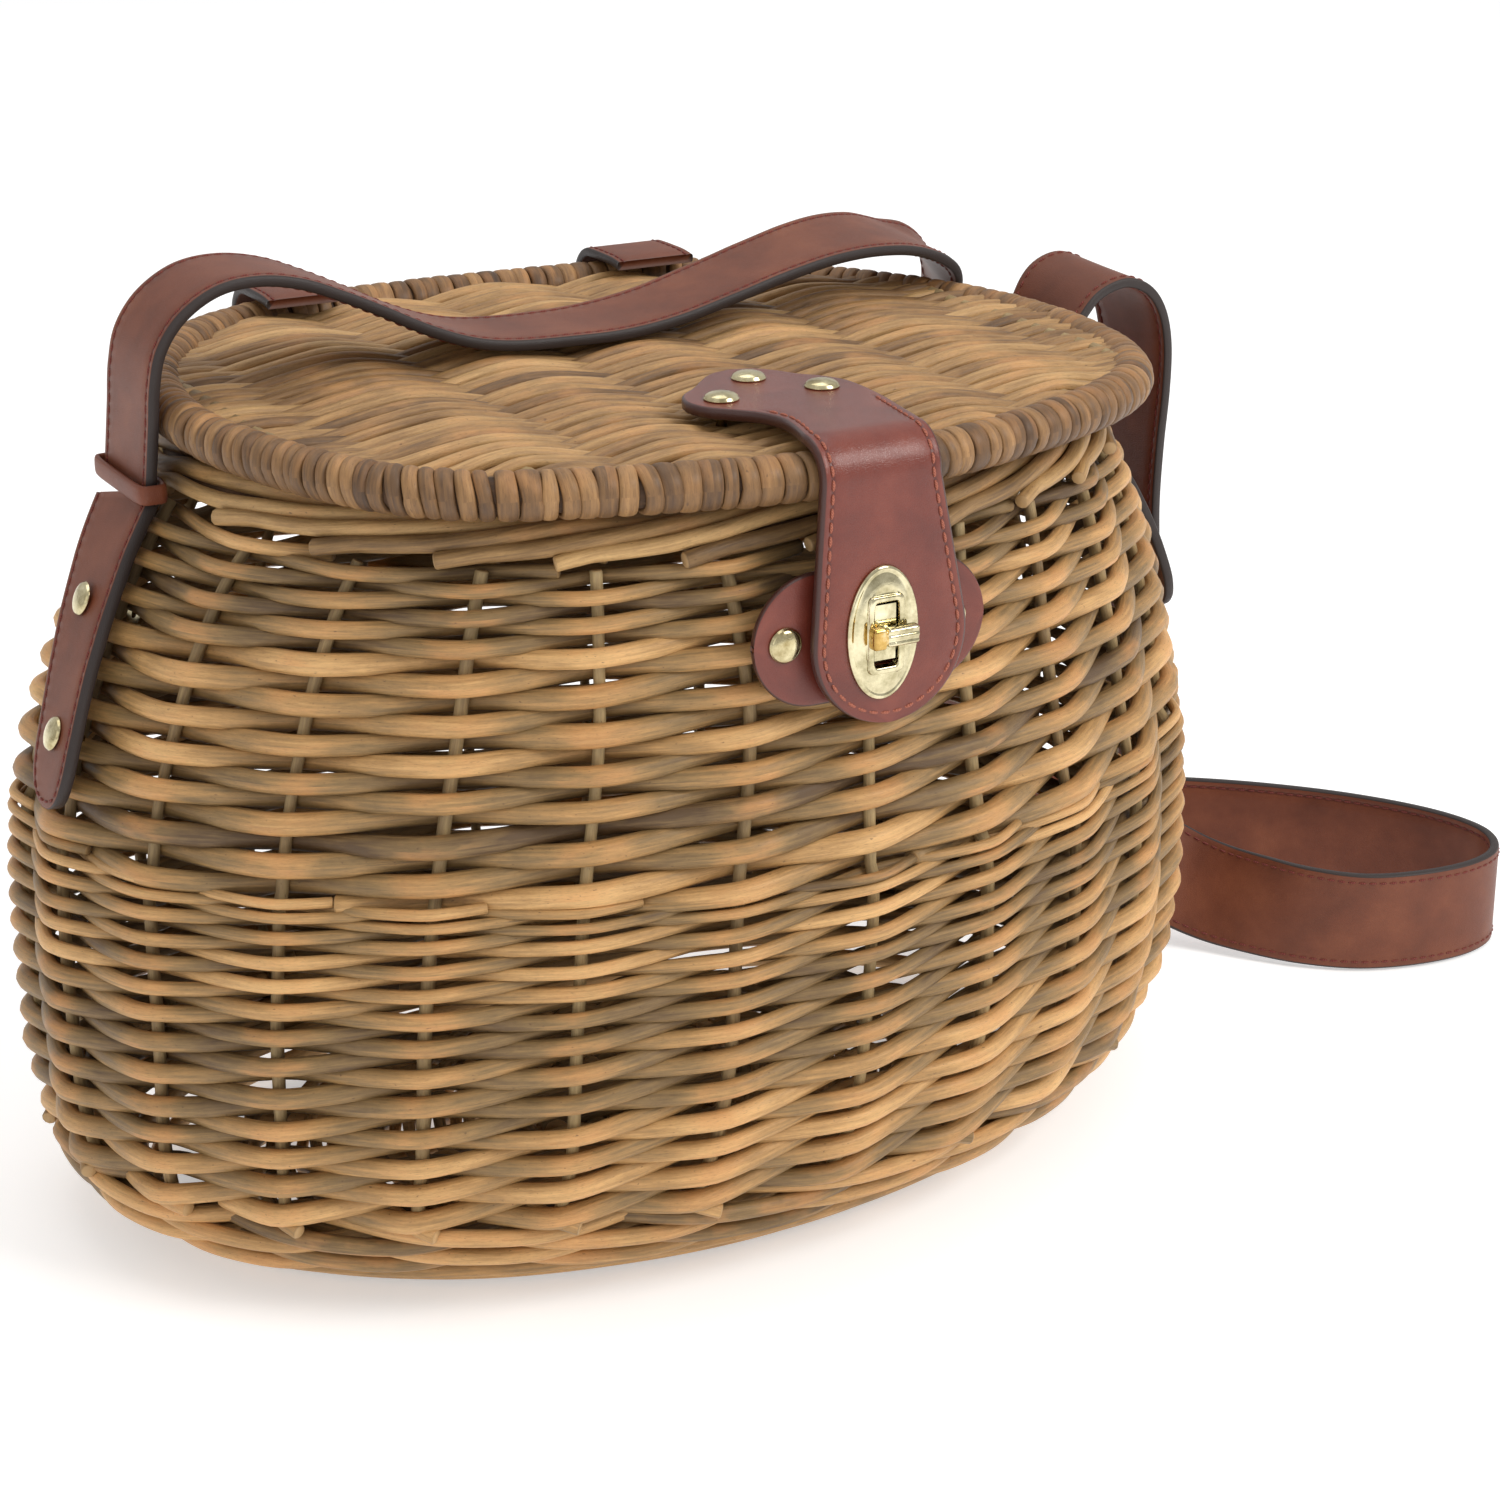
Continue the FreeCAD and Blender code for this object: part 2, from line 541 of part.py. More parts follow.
patch = stadium("patch_blank", "Sheet.patch_half", "Sheet.patch_rad", "Sheet.patch_thick", P["patch_half"], P["patch_rad"])
holes = [prim("Part::Cylinder", "patch_hole_%d" % i, FreeCAD.Placement(V(off, 0, -1), FreeCAD.Rotation()),
              Radius="Sheet.hole_dia / 2", Height="Sheet.patch_thick + 2") for i, off in ((1, -24.0), (2, 24.0))]
holes.append(prim("Part::Cylinder", "patch_lock_hole", FreeCAD.Placement(V(0, 1.0, -1), FreeCAD.Rotation()),
                  Radius="Sheet.bore_dia / 2 + 0.6", Height="Sheet.patch_thick + 2"))
tools = doc.addObject("Part::MultiFuse", "patch_holes")
tools.Shapes = holes
cut = doc.addObject("Part::Cut", "keeper_patch")
cut.Base, cut.Tool = patch, tools
cut.Placement = FreeCAD.Placement(V(cx, -P["patch_y"], lock_z - 1.0), FRONT)
keep(cut, "keeper_patch")

# brass foot of the turn-lock on the patch, with the bored boss that the knob's pin runs in
front_y = -(P["patch_y"] + P["patch_thick"])
oval = prim("Part::Ellipse", "foot_oval", FreeCAD.Placement(), MajorRadius="Sheet.plate_major - 2", MinorRadius="Sheet.plate_minor - 1")
foot = doc.addObject("Part::Extrusion", "foot_plate")
foot.Base, foot.DirMode, foot.Dir, foot.Solid, foot.LengthFwd = oval, "Custom", V(0, 0, 1), True, 0.9
boss = prim("Part::Cylinder", "foot_boss", FreeCAD.Placement(), Radius="Sheet.boss_dia / 2")
boss.Height = 1.3
# block that fills the slot nearly flush with the oval plate; its lower end leaves room for the flap's swing
block = prim("Part::Box", "foot_block", FreeCAD.Placement(V(-6.6, -2.95, 0), FreeCAD.Rotation()))
block.Length, block.Width, block.Height = 14.0, 5.9, 6.6
bore = prim("Part::Cylinder", "foot_bore", FreeCAD.Placement(V(0, 0, -1), FreeCAD.Rotation()), Radius="Sheet.bore_dia / 2")
bore.Height = 12
fz = doc.addObject("Part::MultiFuse", "foot_body")
fz.Shapes = [foot, boss, block]
ft = doc.addObject("Part::Cut", "turnlock_base")
ft.Base, ft.Tool = fz, bore
ft.Placement = FreeCAD.Placement(V(cx, front_y - 0.02, lock_z), frame_rot(V(0, -1, 0), V(0, 0, 1)))
keep(ft, "turnlock_base")

# washer behind the patch that the foot's prongs close over
a = prim("Part::Cylinder", "lock_washer_disc", FreeCAD.Placement(), Radius="Sheet.boss_dia / 2 + 2.5", Height="Sheet.burr_thick")
b = prim("Part::Cylinder", "lock_washer_hole", FreeCAD.Placement(V(0, 0, -1), FreeCAD.Rotation()), Radius="Sheet.bore_dia / 2 + 0.6", Height="Sheet.burr_thick + 2")
ws = doc.addObject("Part::Cut", "turnlock_washer")
ws.Base, ws.Tool = a, b
ws.Placement = FreeCAD.Placement(V(cx, -P["patch_y"] + P["burr_thick"] + 0.05, lock_z), FRONT)
keep(ws, "turnlock_washer")

# knob: a round pin with a cross bar, locked when the bar lies level
import Sketcher
knob = doc.addObject("PartDesign::Body", "turnlock_knob")
sk = knob.newObject("Sketcher::SketchObject", "knob_pin_section")
sk.AttachmentSupport = [([f for f in knob.Origin.OriginFeatures if f.Role == "XY_Plane"][0], "")]
sk.MapMode = "FlatFace"
sk.addGeometry(Part.Circle(V(0, 0, 0), V(0, 0, 1), P["pin_dia"] / 2), False)
sk.addConstraint(Sketcher.Constraint("Coincident", 0, 3, -1, 1))
k = sk.addConstraint(Sketcher.Constraint("Radius", 0, P["pin_dia"] / 2))
sk.setExpression("Constraints[%d]" % k, "Sheet.pin_dia / 2")
pin = knob.newObject("PartDesign::Pad", "knob_pin")
pin.Profile = sk
pin.Length = 10.2
sk2 = knob.newObject("Sketcher::SketchObject", "knob_bar_section")
sk2.AttachmentSupport = [([f for f in knob.Origin.OriginFeatures if f.Role == "XY_Plane"][0], "")]
sk2.MapMode = "FlatFace"
sk2.AttachmentOffset = FreeCAD.Placement(V(0, 0, 9.3), FreeCAD.Rotation())
L2, H2 = P["knob_long"] / 2, P["knob_high"] / 2
corner = [(-L2, -H2), (L2, -H2), (L2, H2), (-L2, H2)]
for i in range(4):
    a, b = corner[i], corner[(i + 1) % 4]
    sk2.addGeometry(Part.LineSegment(V(a[0], a[1], 0), V(b[0], b[1], 0)), False)
for i in range(4):
    sk2.addConstraint(Sketcher.Constraint("Coincident", i, 2, (i + 1) % 4, 1))
for i in (0, 2):
    sk2.addConstraint(Sketcher.Constraint("Horizontal", i))
for i in (1, 3):
    sk2.addConstraint(Sketcher.Constraint("Vertical", i))
sk2.addConstraint(Sketcher.Constraint("Symmetric", 0, 1, 1, 2, -1, 1))
k = sk2.addConstraint(Sketcher.Constraint("DistanceX", 0, 1, 0, 2, P["knob_long"]))
sk2.setExpression("Constraints[%d]" % k, "Sheet.knob_long")
k = sk2.addConstraint(Sketcher.Constraint("DistanceY", 1, 1, 1, 2, P["knob_high"]))
sk2.setExpression("Constraints[%d]" % k, "Sheet.knob_high")
bar = knob.newObject("PartDesign::Pad", "knob_bar")
bar.Profile = sk2
bar.setExpression("Length", "Sheet.knob_deep")
knob.Tip = bar
doc.recompute()
edges = []
for i, e in enumerate(bar.Shape.Edges):
    bb = e.BoundBox
    if bb.ZMin > 9.3 + P["knob_deep"] - 0.01 and bb.ZLength < 0.01:
        edges.append("Edge%d" % (i + 1))
rnd = knob.newObject("PartDesign::Fillet", "knob_round")
rnd.Base = (bar, edges)
rnd.Radius = 1.2
knob.Tip = rnd
KNOB_Y = -130.6
knob.Placement = FreeCAD.Placement(V(cx, KNOB_Y, lock_z), FRONT)
keep(knob, "turnlock_knob")

# ------------------------------------------------------------------ clasp flap on the lid
ri = P["hoop_rad"] + 0.4
ro = ri + P["flap_leather"]
hoop_y = -127.0
flat_z = P["hoop_z"] + ri
HEAD = [(-18, -127), (-15.8, -118), (-15.2, -111), (-17.5, -104), (-22, -98.5), (-26.3, -93.5), (-27.8, -87),
        (-25.5, -80.5), (-20, -75.5), (-14.5, -69.5), (-9.5, -65), (-3, -63.2), (3.5, -64.8), (8, -69.5),
        (11.5, -75.5), (15.5, -80), (18.3, -85.5), (19, -92), (18.8, -99), (18.2, -106), (16.8, -115), (15, -127)]
curve = Part.BSplineCurve()
curve.interpolate(Points=[V(x, y, flat_z) for x, y in HEAD])
closing = Part.LineSegment(V(15, -127, flat_z), V(-18, -127, flat_z))
head = Part.Face(Part.Wire([curve.toShape(), closing.toShape()])).extrude(V(0, 0, P["flap_leather"]))
if head.Volume < 0:
    head.reverse()
bend_o = Part.makeCylinder(ro, 33.0, V(-18, hoop_y, P["hoop_z"]), V(1, 0, 0))
bend_i = Part.makeCylinder(ri, 35.0, V(-19, hoop_y, P["hoop_z"]), V(1, 0, 0))
quarter = Part.makeBox(33.0, ro + 1, ro + 1, V(-18, hoop_y - ro - 1, P["hoop_z"]))
bend = bend_o.cut(bend_i).common(quarter)
head = head.fuse(bend).removeSplitter()
head = punch(head, [((x, y, flat_z), (0, 0, 1), P["hole_dia"], 20.0) for x, y in HEAD_RIVETS])
feature("flap_head", head)

# tongue: padded outline with the slot for the knob
tongue = doc.addObject("PartDesign::Body", "flap_tongue")
sk = tongue.newObject("Sketcher::SketchObject", "tongue_outline")
sk.AttachmentSupport = [([f for f in tongue.Origin.OriginFeatures if f.Role == "XY_Plane"][0], "")]
sk.MapMode = "FlatFace"
R, half, top = P["flap_end_rad"], P["flap_top_half"], P["hoop_z"] - 0.3 - P["flap_end_z"]
# tangent points of the side lines on the end circle, whose centre sits a little to the right
def side_tangent(side):
    reach = half - side * P["flap_end_x"]
    t = math.atan2(top, reach) - math.acos(R / math.hypot(reach, top))
    return t, P["flap_end_x"] + side * R * math.cos(t), R * math.sin(t)


ta, tx, tz = side_tangent(1)
tb, ux, uz = side_tangent(-1)
sk.addGeometry(Part.LineSegment(V(-half, top, 0), V(half, top, 0)), False)
sk.addGeometry(Part.LineSegment(V(half, top, 0), V(tx, tz, 0)), False)
sk.addGeometry(Part.ArcOfCircle(Part.Circle(V(P["flap_end_x"], 0, 0), V(0, 0, 1), R), math.pi - tb, 2 * math.pi + ta), False)
sk.addGeometry(Part.LineSegment(V(ux, uz, 0), V(-half, top, 0)), False)
sk.addConstraint(Sketcher.Constraint("Coincident", 0, 2, 1, 1))
sk.addConstraint(Sketcher.Constraint("Coincident", 1, 2, 2, 2))
sk.addConstraint(Sketcher.Constraint("Coincident", 2, 1, 3, 1))
sk.addConstraint(Sketcher.Constraint("Coincident", 3, 2, 0, 1))
k = sk.addConstraint(Sketcher.Constraint("DistanceX", -1, 1, 2, 3, P["flap_end_x"]))
sk.setExpression("Constraints[%d]" % k, "Sheet.flap_end_x")
sk.addConstraint(Sketcher.Constraint("PointOnObject", 2, 3, -1))
k = sk.addConstraint(Sketcher.Constraint("Radius", 2, R))
sk.setExpression("Constraints[%d]" % k, "Sheet.flap_end_rad")
pad = tongue.newObject("PartDesign::Pad", "tongue_pad")
pad.Profile = sk
pad.setExpression("Length", "Sheet.flap_leather")
sk2 = tongue.newObject("Sketcher::SketchObject", "tongue_slot")
sk2.AttachmentSupport = [([f for f in tongue.Origin.OriginFeatures if f.Role == "XY_Plane"][0], "")]
sk2.MapMode = "FlatFace"
sw, sh, sz = P["slot_wide"] / 2, P["slot_high"] / 2, lock_z - P["flap_end_z"]
corner = [(-sw, sz - sh), (sw, sz - sh), (sw, sz + sh), (-sw, sz + sh)]
for i in range(4):
    a, b = corner[i], corner[(i + 1) % 4]
    sk2.addGeometry(Part.LineSegment(V(a[0], a[1], 0), V(b[0], b[1], 0)), False)
for i in range(4):
    sk2.addConstraint(Sketcher.Constraint("Coincident", i, 2, (i + 1) % 4, 1))
k = sk2.addConstraint(Sketcher.Constraint("DistanceX", 0, 1, 0, 2, P["slot_wide"]))
sk2.setExpression("Constraints[%d]" % k, "Sheet.slot_wide")
pocket = tongue.newObject("PartDesign::Pocket", "tongue_slot_cut")
pocket.Profile = sk2
pocket.Type = 0
pocket.Length = 10
pocket.Reversed = True
pocket.Midplane = False
tongue.Tip = pocket
doc.recompute()
if abs(pocket.Shape.Volume - pad.Shape.Volume) < 1.0:
    pocket.Reversed = False
    doc.recompute()
tongue.Placement = FreeCAD.Placement(V(cx, -P["flap_inner_y"], P["flap_end_z"]), FRONT)
keep(tongue, "flap_tongue")

# oval brass plate with its raised slot frame, and the washer plate behind the leather
ZUP = frame_rot(V(0, -1, 0), V(0, 0, 1))  # local X up, local Z to the front
plate_y = -(P["flap_inner_y"] + P["flap_leather"]) - 0.02
oval = prim("Part::Ellipse", "eyelet_oval", FreeCAD.Placement(), MajorRadius="Sheet.plate_major", MinorRadius="Sheet.plate_minor")
disc = doc.addObject("Part::Extrusion", "eyelet_disc")
disc.Base, disc.DirMode, disc.Dir, disc.Solid = oval, "Custom", V(0, 0, 1), True
disc.setExpression("LengthFwd", "Sheet.plate_thick")
fr = prim("Part::Box", "eyelet_frame", FreeCAD.Placement(V(-P["frame_high"] / 2, -P["frame_wide"] / 2, 0), FreeCAD.Rotation()),
          Length="Sheet.frame_high", Width="Sheet.frame_wide", Height="Sheet.plate_thick + Sheet.frame_rise")
fu = doc.addObject("Part::Fuse", "eyelet_blank")
fu.Base, fu.Tool = disc, fr
sl = prim("Part::Box", "eyelet_slot", FreeCAD.Placement(V(-P["slot_high"] / 2, -P["slot_wide"] / 2, -1), FreeCAD.Rotation()),
          Length="Sheet.slot_high", Width="Sheet.slot_wide", Height="Sheet.plate_thick + Sheet.frame_rise + 2")
ey = doc.addObject("Part::Cut", "eyelet_plate")
ey.Base, ey.Tool = fu, sl
ey.Placement = FreeCAD.Placement(V(cx, plate_y, lock_z), ZUP)
keep(ey, "eyelet_plate")
oval = prim("Part::Ellipse", "washer_oval", FreeCAD.Placement(), MajorRadius="Sheet.plate_major - 1", MinorRadius="Sheet.plate_minor - 1")
disc = doc.addObject("Part::Extrusion", "washer_disc")
disc.Base, disc.DirMode, disc.Dir, disc.Solid, disc.LengthFwd = oval, "Custom", V(0, 0, 1), True, 0.6
sl = prim("Part::Box", "washer_slot", FreeCAD.Placement(V(-P["slot_high"] / 2 - 0.5, -P["slot_wide"] / 2 - 1.2, -1), FreeCAD.Rotation()),
          Length="Sheet.slot_high + 1", Width="Sheet.slot_wide + 2.4")
sl.Height = 3
ew = doc.addObject("Part::Cut", "eyelet_backplate")
ew.Base, ew.Tool = disc, sl
ew.Placement = FreeCAD.Placement(V(cx, -P["flap_inner_y"] + 0.62, lock_z), ZUP)
keep(ew, "eyelet_backplate")


# ------------------------------------------------------------------ strap tabs on the two ends
def tab(label, side, lean):
    wires = []
    for z, yc, hw in TAB_LINE:
        inner, outer = [], []
        for u in (-1.0, -0.5, 0.0, 0.5, 1.0):
            y = yc + u * hw
            base = max(side * wall_x(yc + q * hw, z, side) for q in (-0.5, 0, 0.5))
            xw = side * wall_x(y, z, side)
            xi = 0.5 * (base + xw) + P["tab_stand_off"] + 0.35 + lean * max(0.0, (z - 183.0) / 22.5) ** 1.5
            inner.append(V(side * xi, y, z))
            outer.append(V(side * (xi + P["tab_thick"]), y, z))
        pts = inner + outer[::-1]
        wires.append(Part.makePolygon(pts + [pts[0]]))
    shape = Part.makeLoft(wires, True, True)
    if shape.Volume < 0:
        shape.reverse()
    a, b, along, out = tab_axis(side)
    shape = punch(shape, [((p.x, p.y, p.z), (out.x, out.y, out.z), P["hole_dia"], 40.0) for p in (a, b)])
    feature(label, shape)


tab("tab_left", -1, 0.8)
tab("tab_right", 1, 3.9)

# ------------------------------------------------------------------ shoulder strap
# centre line (x, y, z) and the direction across the strap, from the left tab over the lid,
# down behind the right end, round the loop on the floor and up again to the right tab
STRAP = [
    ((-139.0, 7.0, 206.2), (0, 1, 0)),
    ((-138.2, 6.9, 214.0), (0, 1, 0)),
    ((-137.2, 6.2, 226.0), (0, 1, 0)),
    ((-136.4, 5.4, 237.0), (0, 1, 0)),          # 3: end of the left riser
    ((-134.0, 5.4, 246.0), (0, 1, 0)),
    ((-128.0, 5.4, 253.8), (0, 1, 0)),
    ((-118.5, 5.4, 259.3), (0, 1, 0)),
    ((-107.5, 5.4, 260.6), (0, 1, 0)),
    ((-96.0, 5.4, 258.6), (0, 1, 0)),
    ((-84.5, 5.4, 254.0), (0, 1, 0)),
    ((-74.0, 5.4, 249.0), (0, 1, 0)),
    ((-62.0, 5.2, 243.0), (0, 1, 0)),
    ((-50.0, 5.0, 238.4), (0, 1, 0)),
    ((-38.0, 4.6, 236.2), (0, 1, 0)),
    ((-22.0, 4.2, 235.6), (0, 1, 0)),
    ((-5.0, 4.2, 235.9), (0.02, 1, 0.02)),
    ((12.0, 4.8, 238.0), (0.08, 1, 0.04)),
    ((30.0, 6.2, 242.0), (0.15, 1, 0.07)),
    ((48.0, 8.4, 246.0), (0.22, 0.97, 0.09)),
    ((65.0, 11.4, 248.6), (0.27, 0.96, 0.1)),
    ((80.0, 15.4, 248.8), (0.32, 0.94, 0.07)),
    ((94.0, 21.0, 246.6), (0.4, 0.91, -0.02)),
    ((106.9, 27.7, 242.0), (0.43, 0.88, -0.14)),
    ((117.8, 34.2, 235.4), (0.45, 0.87, -0.18)),
    ((125.6, 39.2, 226.0), (0.37, 0.92, -0.09)),  # 24: end of the part that lies over the lid
    ((130.8, 43.0, 213.0), (0.14, 0.99, 0)),
    ((135.6, 47.6, 200.0), (-0.02, 1, 0)),
    ((143.5, 53.0, 180.0), (-0.2, 0.98, 0)),
    ((150.0, 58.5, 158.0), (-0.45, 0.89, 0)),
    ((154.5, 64.0, 135.0), (-0.6, 0.8, 0)),
    ((157.5, 69.5, 110.0), (-0.62, 0.76, 0.1)),
    ((161.5, 75.0, 87.0), (-0.55, 0.72, 0.35)),
    ((168.5, 80.5, 64.0), (-0.4, 0.5, 0.65)),
    ((180.5, 85.5, 43.0), (-0.25, 0.2, 0.85)),
    ((197.0, 89.5, 27.5), (-0.12, 0.05, 0.95)),
    ((215.5, 90.0, 19.3), (-0.04, 0, 1)),
    ((234.0, 84.5, 17.0), (0, 0, 1)),             # 36: start of the floor loop
    ((251.0, 75.0, 16.5), (0, 0, 1)),
    ((270.0, 59.0, 16.5), (0, 0, 1)),
    ((288.5, 39.0, 16.5), (0, 0, 1)),
    ((302.5, 18.0, 16.5), (0, 0, 1)),
    ((309.5, 0.0, 16.5), (0, 0, 1)),
    ((309.5, -15.0, 16.5), (0, 0, 1)),
    ((301.0, -27.0, 16.5), (0, 0, 1)),
    ((286.0, -32.0, 16.5), (0, 0, 1)),
    ((267.0, -30.5, 16.5), (0, 0, 1)),
    ((250.0, -24.0, 16.5), (0.02, 0.0, 1)),
    ((237.0, -12.0, 16.8), (0.1, 0.05, 1)),
    ((228.0, 2.5, 17.2), (0.25, 0.1, 0.95)),
    ((221.0, 16.0, 18.0), (0.42, 0.12, 0.88)),    # 49: end of the floor loop
    ((213.0, 26.5, 22.0), (0.55, 0.2, 0.78)),
    ((203.5, 32.0, 30.5), (0.55, 0.42, 0.68)),
    ((194.5, 32.5, 43.5), (0.45, 0.7, 0.45)),
    ((187.5, 29.5, 60.0), (0.25, 0.92, 0.2)),
    ((183.0, 25.0, 80.0), (0.08, 1, 0.05)),
    ((181.0, 20.5, 101.0), (0, 1, 0)),
    ((180.0, 16.5, 122.0), (0, 1, 0)),
    ((178.0, 13.0, 143.0), (0, 1, 0)),
    ((175.5, 10.5, 162.0), (0, 1, 0)),
    ((175.0, 9.0, 180.0), (0, 1, 0)),             # 59: end of the right leg
    ((175.5, 8.5, 197.0), (-0.03, 1, 0)),
    ((175.0, 8.5, 211.0), (-0.06, 1, 0.02)),
    ((172.0, 8.5, 221.5), (-0.1, 0.99, 0.05)),
    ((166.5, 8.6, 228.8), (-0.13, 0.99, 0.09)),
    ((158.8, 8.7, 232.0), (-0.13, 0.99, 0.09)),
    ((150.5, 8.6, 230.0), (-0.12, 0.99, 0.07)),
    ((144.3, 7.8, 224.0), (-0.08, 1, 0.03)),
    ((140.4, 7.1, 215.5), (-0.015, 1, 0)),
    ((139.5, 7.0, 206.2), (0, 1, 0)),
]


def spline_at(pts, t):
    """Centripetal-free cubic (Catmull-Rom) through the listed points at index t."""
    n = len(pts)
    i = min(int(t), n - 2)
    u = t - i
    p1, p2 = pts[i], pts[i + 1]
    p0 = pts[i - 1] if i > 0 else [2 * a - b for a, b in zip(p1, p2)]
    p3 = pts[i + 2] if i + 2 < n else [2 * b - a for a, b in zip(p1, p2)]
    return [0.5 * (2 * b + (c - a) * u + (2 * a - 5 * b + 4 * c - d) * u * u + (3 * b - a - 3 * c + d) * u ** 3)
            for a, b, c, d in zip(p0, p1, p2, p3)]


CENTRE = [list(p) for p, w in STRAP]
ACROSS = [list(w) for p, w in STRAP]


def strap_section(t):
    c = V(*spline_at(CENTRE, t))
    e = 0.02
    ta, tb = max(t - e, 0), min(t + e, len(CENTRE) - 1)
    d = V(*spline_at(CENTRE, tb)) - V(*spline_at(CENTRE, ta))
    d.normalize()
    w = V(*spline_at(ACROSS, t))
    w = w - d * w.dot(d)
    w.normalize()
    nrm = d.cross(w)
    nrm.normalize()
    hw, ht = P["strap_wide"] / 2, P["strap_thick"] / 2
    return [c + w * (sx * hw) + nrm * (sy * ht) for sx, sy in ((-1, -1), (1, -1), (1, 1), (-1, 1))]


def strap_piece(label, t0, t1, trim0=0.0, trim1=0.0, step=1.0):
    a, b = t0 + trim0, t1 - trim1
    n = max(2, int(round((b - a) / step)))
    wires = []
    for i in range(n + 1):
        q = strap_section(a + (b - a) * i / n)
        wires.append(Part.makePolygon(q + [q[0]]))
    shape = Part.makeLoft(wires, True, False)
    if shape.Volume < 0:
        shape.reverse()
    return feature(label, shape)


length = 0.0
prev = None
for i in range(0, (len(STRAP) - 1) * 8 + 1):
    q = V(*spline_at(CENTRE, i / 8.0))
    if prev is not None:
        length += (q - prev).Length
    prev = q
print("strap length between the tabs: %.0f mm" % length)

strap_piece("strap_left_riser", 0, 3, 0.0, 0.03)
strap_piece("strap_over_lid", 3, 24, 0.03, 0.03)
strap_piece("strap_back_leg", 24, 36, 0.03, 0.0)
strap_piece("strap_floor_loop", 36, 49)
strap_piece("strap_right_leg", 49, 59)
strap_piece("strap_right_arch", 59, len(STRAP) - 1, step=0.5)

# keeper bands round the foot of the strap at each tab
kw, kh = P["keeper_wall"], P["keeper_high"]
for tag, xk in (("left", -138.55), ("right", 140.0)):
    it, iw = P["strap_thick"] + 2.2, P["strap_wide"] + 1.6
    o = prim("Part::Box", "keeper_%s_outer" % tag, FreeCAD.Placement(V(-it / 2 - kw, -iw / 2 - kw, 0), FreeCAD.Rotation()),
             Length="Sheet.strap_thick + 2.2 + 2 * Sheet.keeper_wall", Width="Sheet.strap_wide + 1.6 + 2 * Sheet.keeper_wall", Height="Sheet.keeper_high")
    i_ = prim("Part::Box", "keeper_%s_inner" % tag, FreeCAD.Placement(V(-it / 2, -iw / 2, -1), FreeCAD.Rotation()),
              Length="Sheet.strap_thick + 2.2", Width="Sheet.strap_wide + 1.6", Height="Sheet.keeper_high + 2")
    c = doc.addObject("Part::Cut", "strap_keeper_" + tag)
    c.Base, c.Tool = o, i_
    c.Placement = FreeCAD.Placement(V(xk, 6.9, 207.2), FreeCAD.Rotation())
    keep(c, "strap_keeper_" + tag)

# ------------------------------------------------------------------ check and write
doc.recompute()
bad = []
for obj in doc.Objects:
    if any(s in ("Invalid", "Error") for s in obj.State):
        bad.append("%s state %s" % (obj.Name, obj.State))
for obj in NODES:
    sh = obj.Shape
    if sh.isNull():
        bad.append(obj.Label + " has no shape")
    elif not sh.isValid():
        bad.append(obj.Label + " is not valid")
    elif not sh.Solids:
        bad.append(obj.Label + " has no solid")
    elif sh.Volume <= 0:
        bad.append(obj.Label + " volume %.2f" % sh.Volume)
if bad:
    raise RuntimeError("; ".join(bad))
for obj in NODES:
    obj.Shape.exportStep("parts/%s.step" % obj.Label)
    bb = obj.Shape.BoundBox
    print("%-24s solids %2d vol %10.1f  x %7.1f..%7.1f y %7.1f..%7.1f z %6.1f..%6.1f" % (
        obj.Label, len(obj.Shape.Solids), obj.Shape.Volume, bb.XMin, bb.XMax, bb.YMin, bb.YMax, bb.ZMin, bb.ZMax))
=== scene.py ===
import math
import bpy
import numpy as np
from mathutils import Matrix, Vector


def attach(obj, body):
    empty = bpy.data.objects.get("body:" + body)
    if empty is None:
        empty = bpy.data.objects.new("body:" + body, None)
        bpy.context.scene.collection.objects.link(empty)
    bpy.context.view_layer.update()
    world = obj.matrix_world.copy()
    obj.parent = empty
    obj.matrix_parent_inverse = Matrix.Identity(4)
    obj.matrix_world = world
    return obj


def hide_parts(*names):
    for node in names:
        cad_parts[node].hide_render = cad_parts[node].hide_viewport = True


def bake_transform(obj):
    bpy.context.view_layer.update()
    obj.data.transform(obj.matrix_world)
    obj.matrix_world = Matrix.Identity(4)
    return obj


# Wicker fishing creel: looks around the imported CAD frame.
# Tables are in millimetres, as in the CAD source, and every mesh is written in metres.

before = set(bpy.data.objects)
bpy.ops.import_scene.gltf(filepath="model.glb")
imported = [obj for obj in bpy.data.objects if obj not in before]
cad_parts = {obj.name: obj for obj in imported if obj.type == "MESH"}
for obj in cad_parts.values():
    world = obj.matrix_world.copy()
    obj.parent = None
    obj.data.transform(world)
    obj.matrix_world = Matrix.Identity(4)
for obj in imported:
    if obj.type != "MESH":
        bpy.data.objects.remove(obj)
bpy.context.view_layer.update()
MM = 0.001
rng = np.random.default_rng(11)
PI = math.pi

# ------------------------------------------------------------------ camera
CAM_AT = np.array([-400.869, -787.270, 441.236])
CAM_FWD = np.array([0.45695, 0.81828, -0.34873])
CAM_LENS = 79.94

cam_data = bpy.data.cameras.new("camera")
cam = bpy.data.objects.new("camera", cam_data)
bpy.context.scene.collection.objects.link(cam)
cam_data.sensor_width = 36.0
cam_data.sensor_fit = "HORIZONTAL"
cam_data.lens = CAM_LENS
cam_data.clip_start = 0.05
cam_data.clip_end = 20.0
_f = Vector(CAM_FWD).normalized()
_r = _f.cross(Vector((0, 0, 1))).normalized()
_u = _r.cross(_f).normalized()
cam.matrix_world = Matrix.Translation(Vector(CAM_AT) * MM) @ Matrix(
    ((_r.x, _u.x, -_f.x), (_r.y, _u.y, -_f.y), (_r.z, _u.z, -_f.z))).to_4x4()
bpy.context.scene.camera = cam

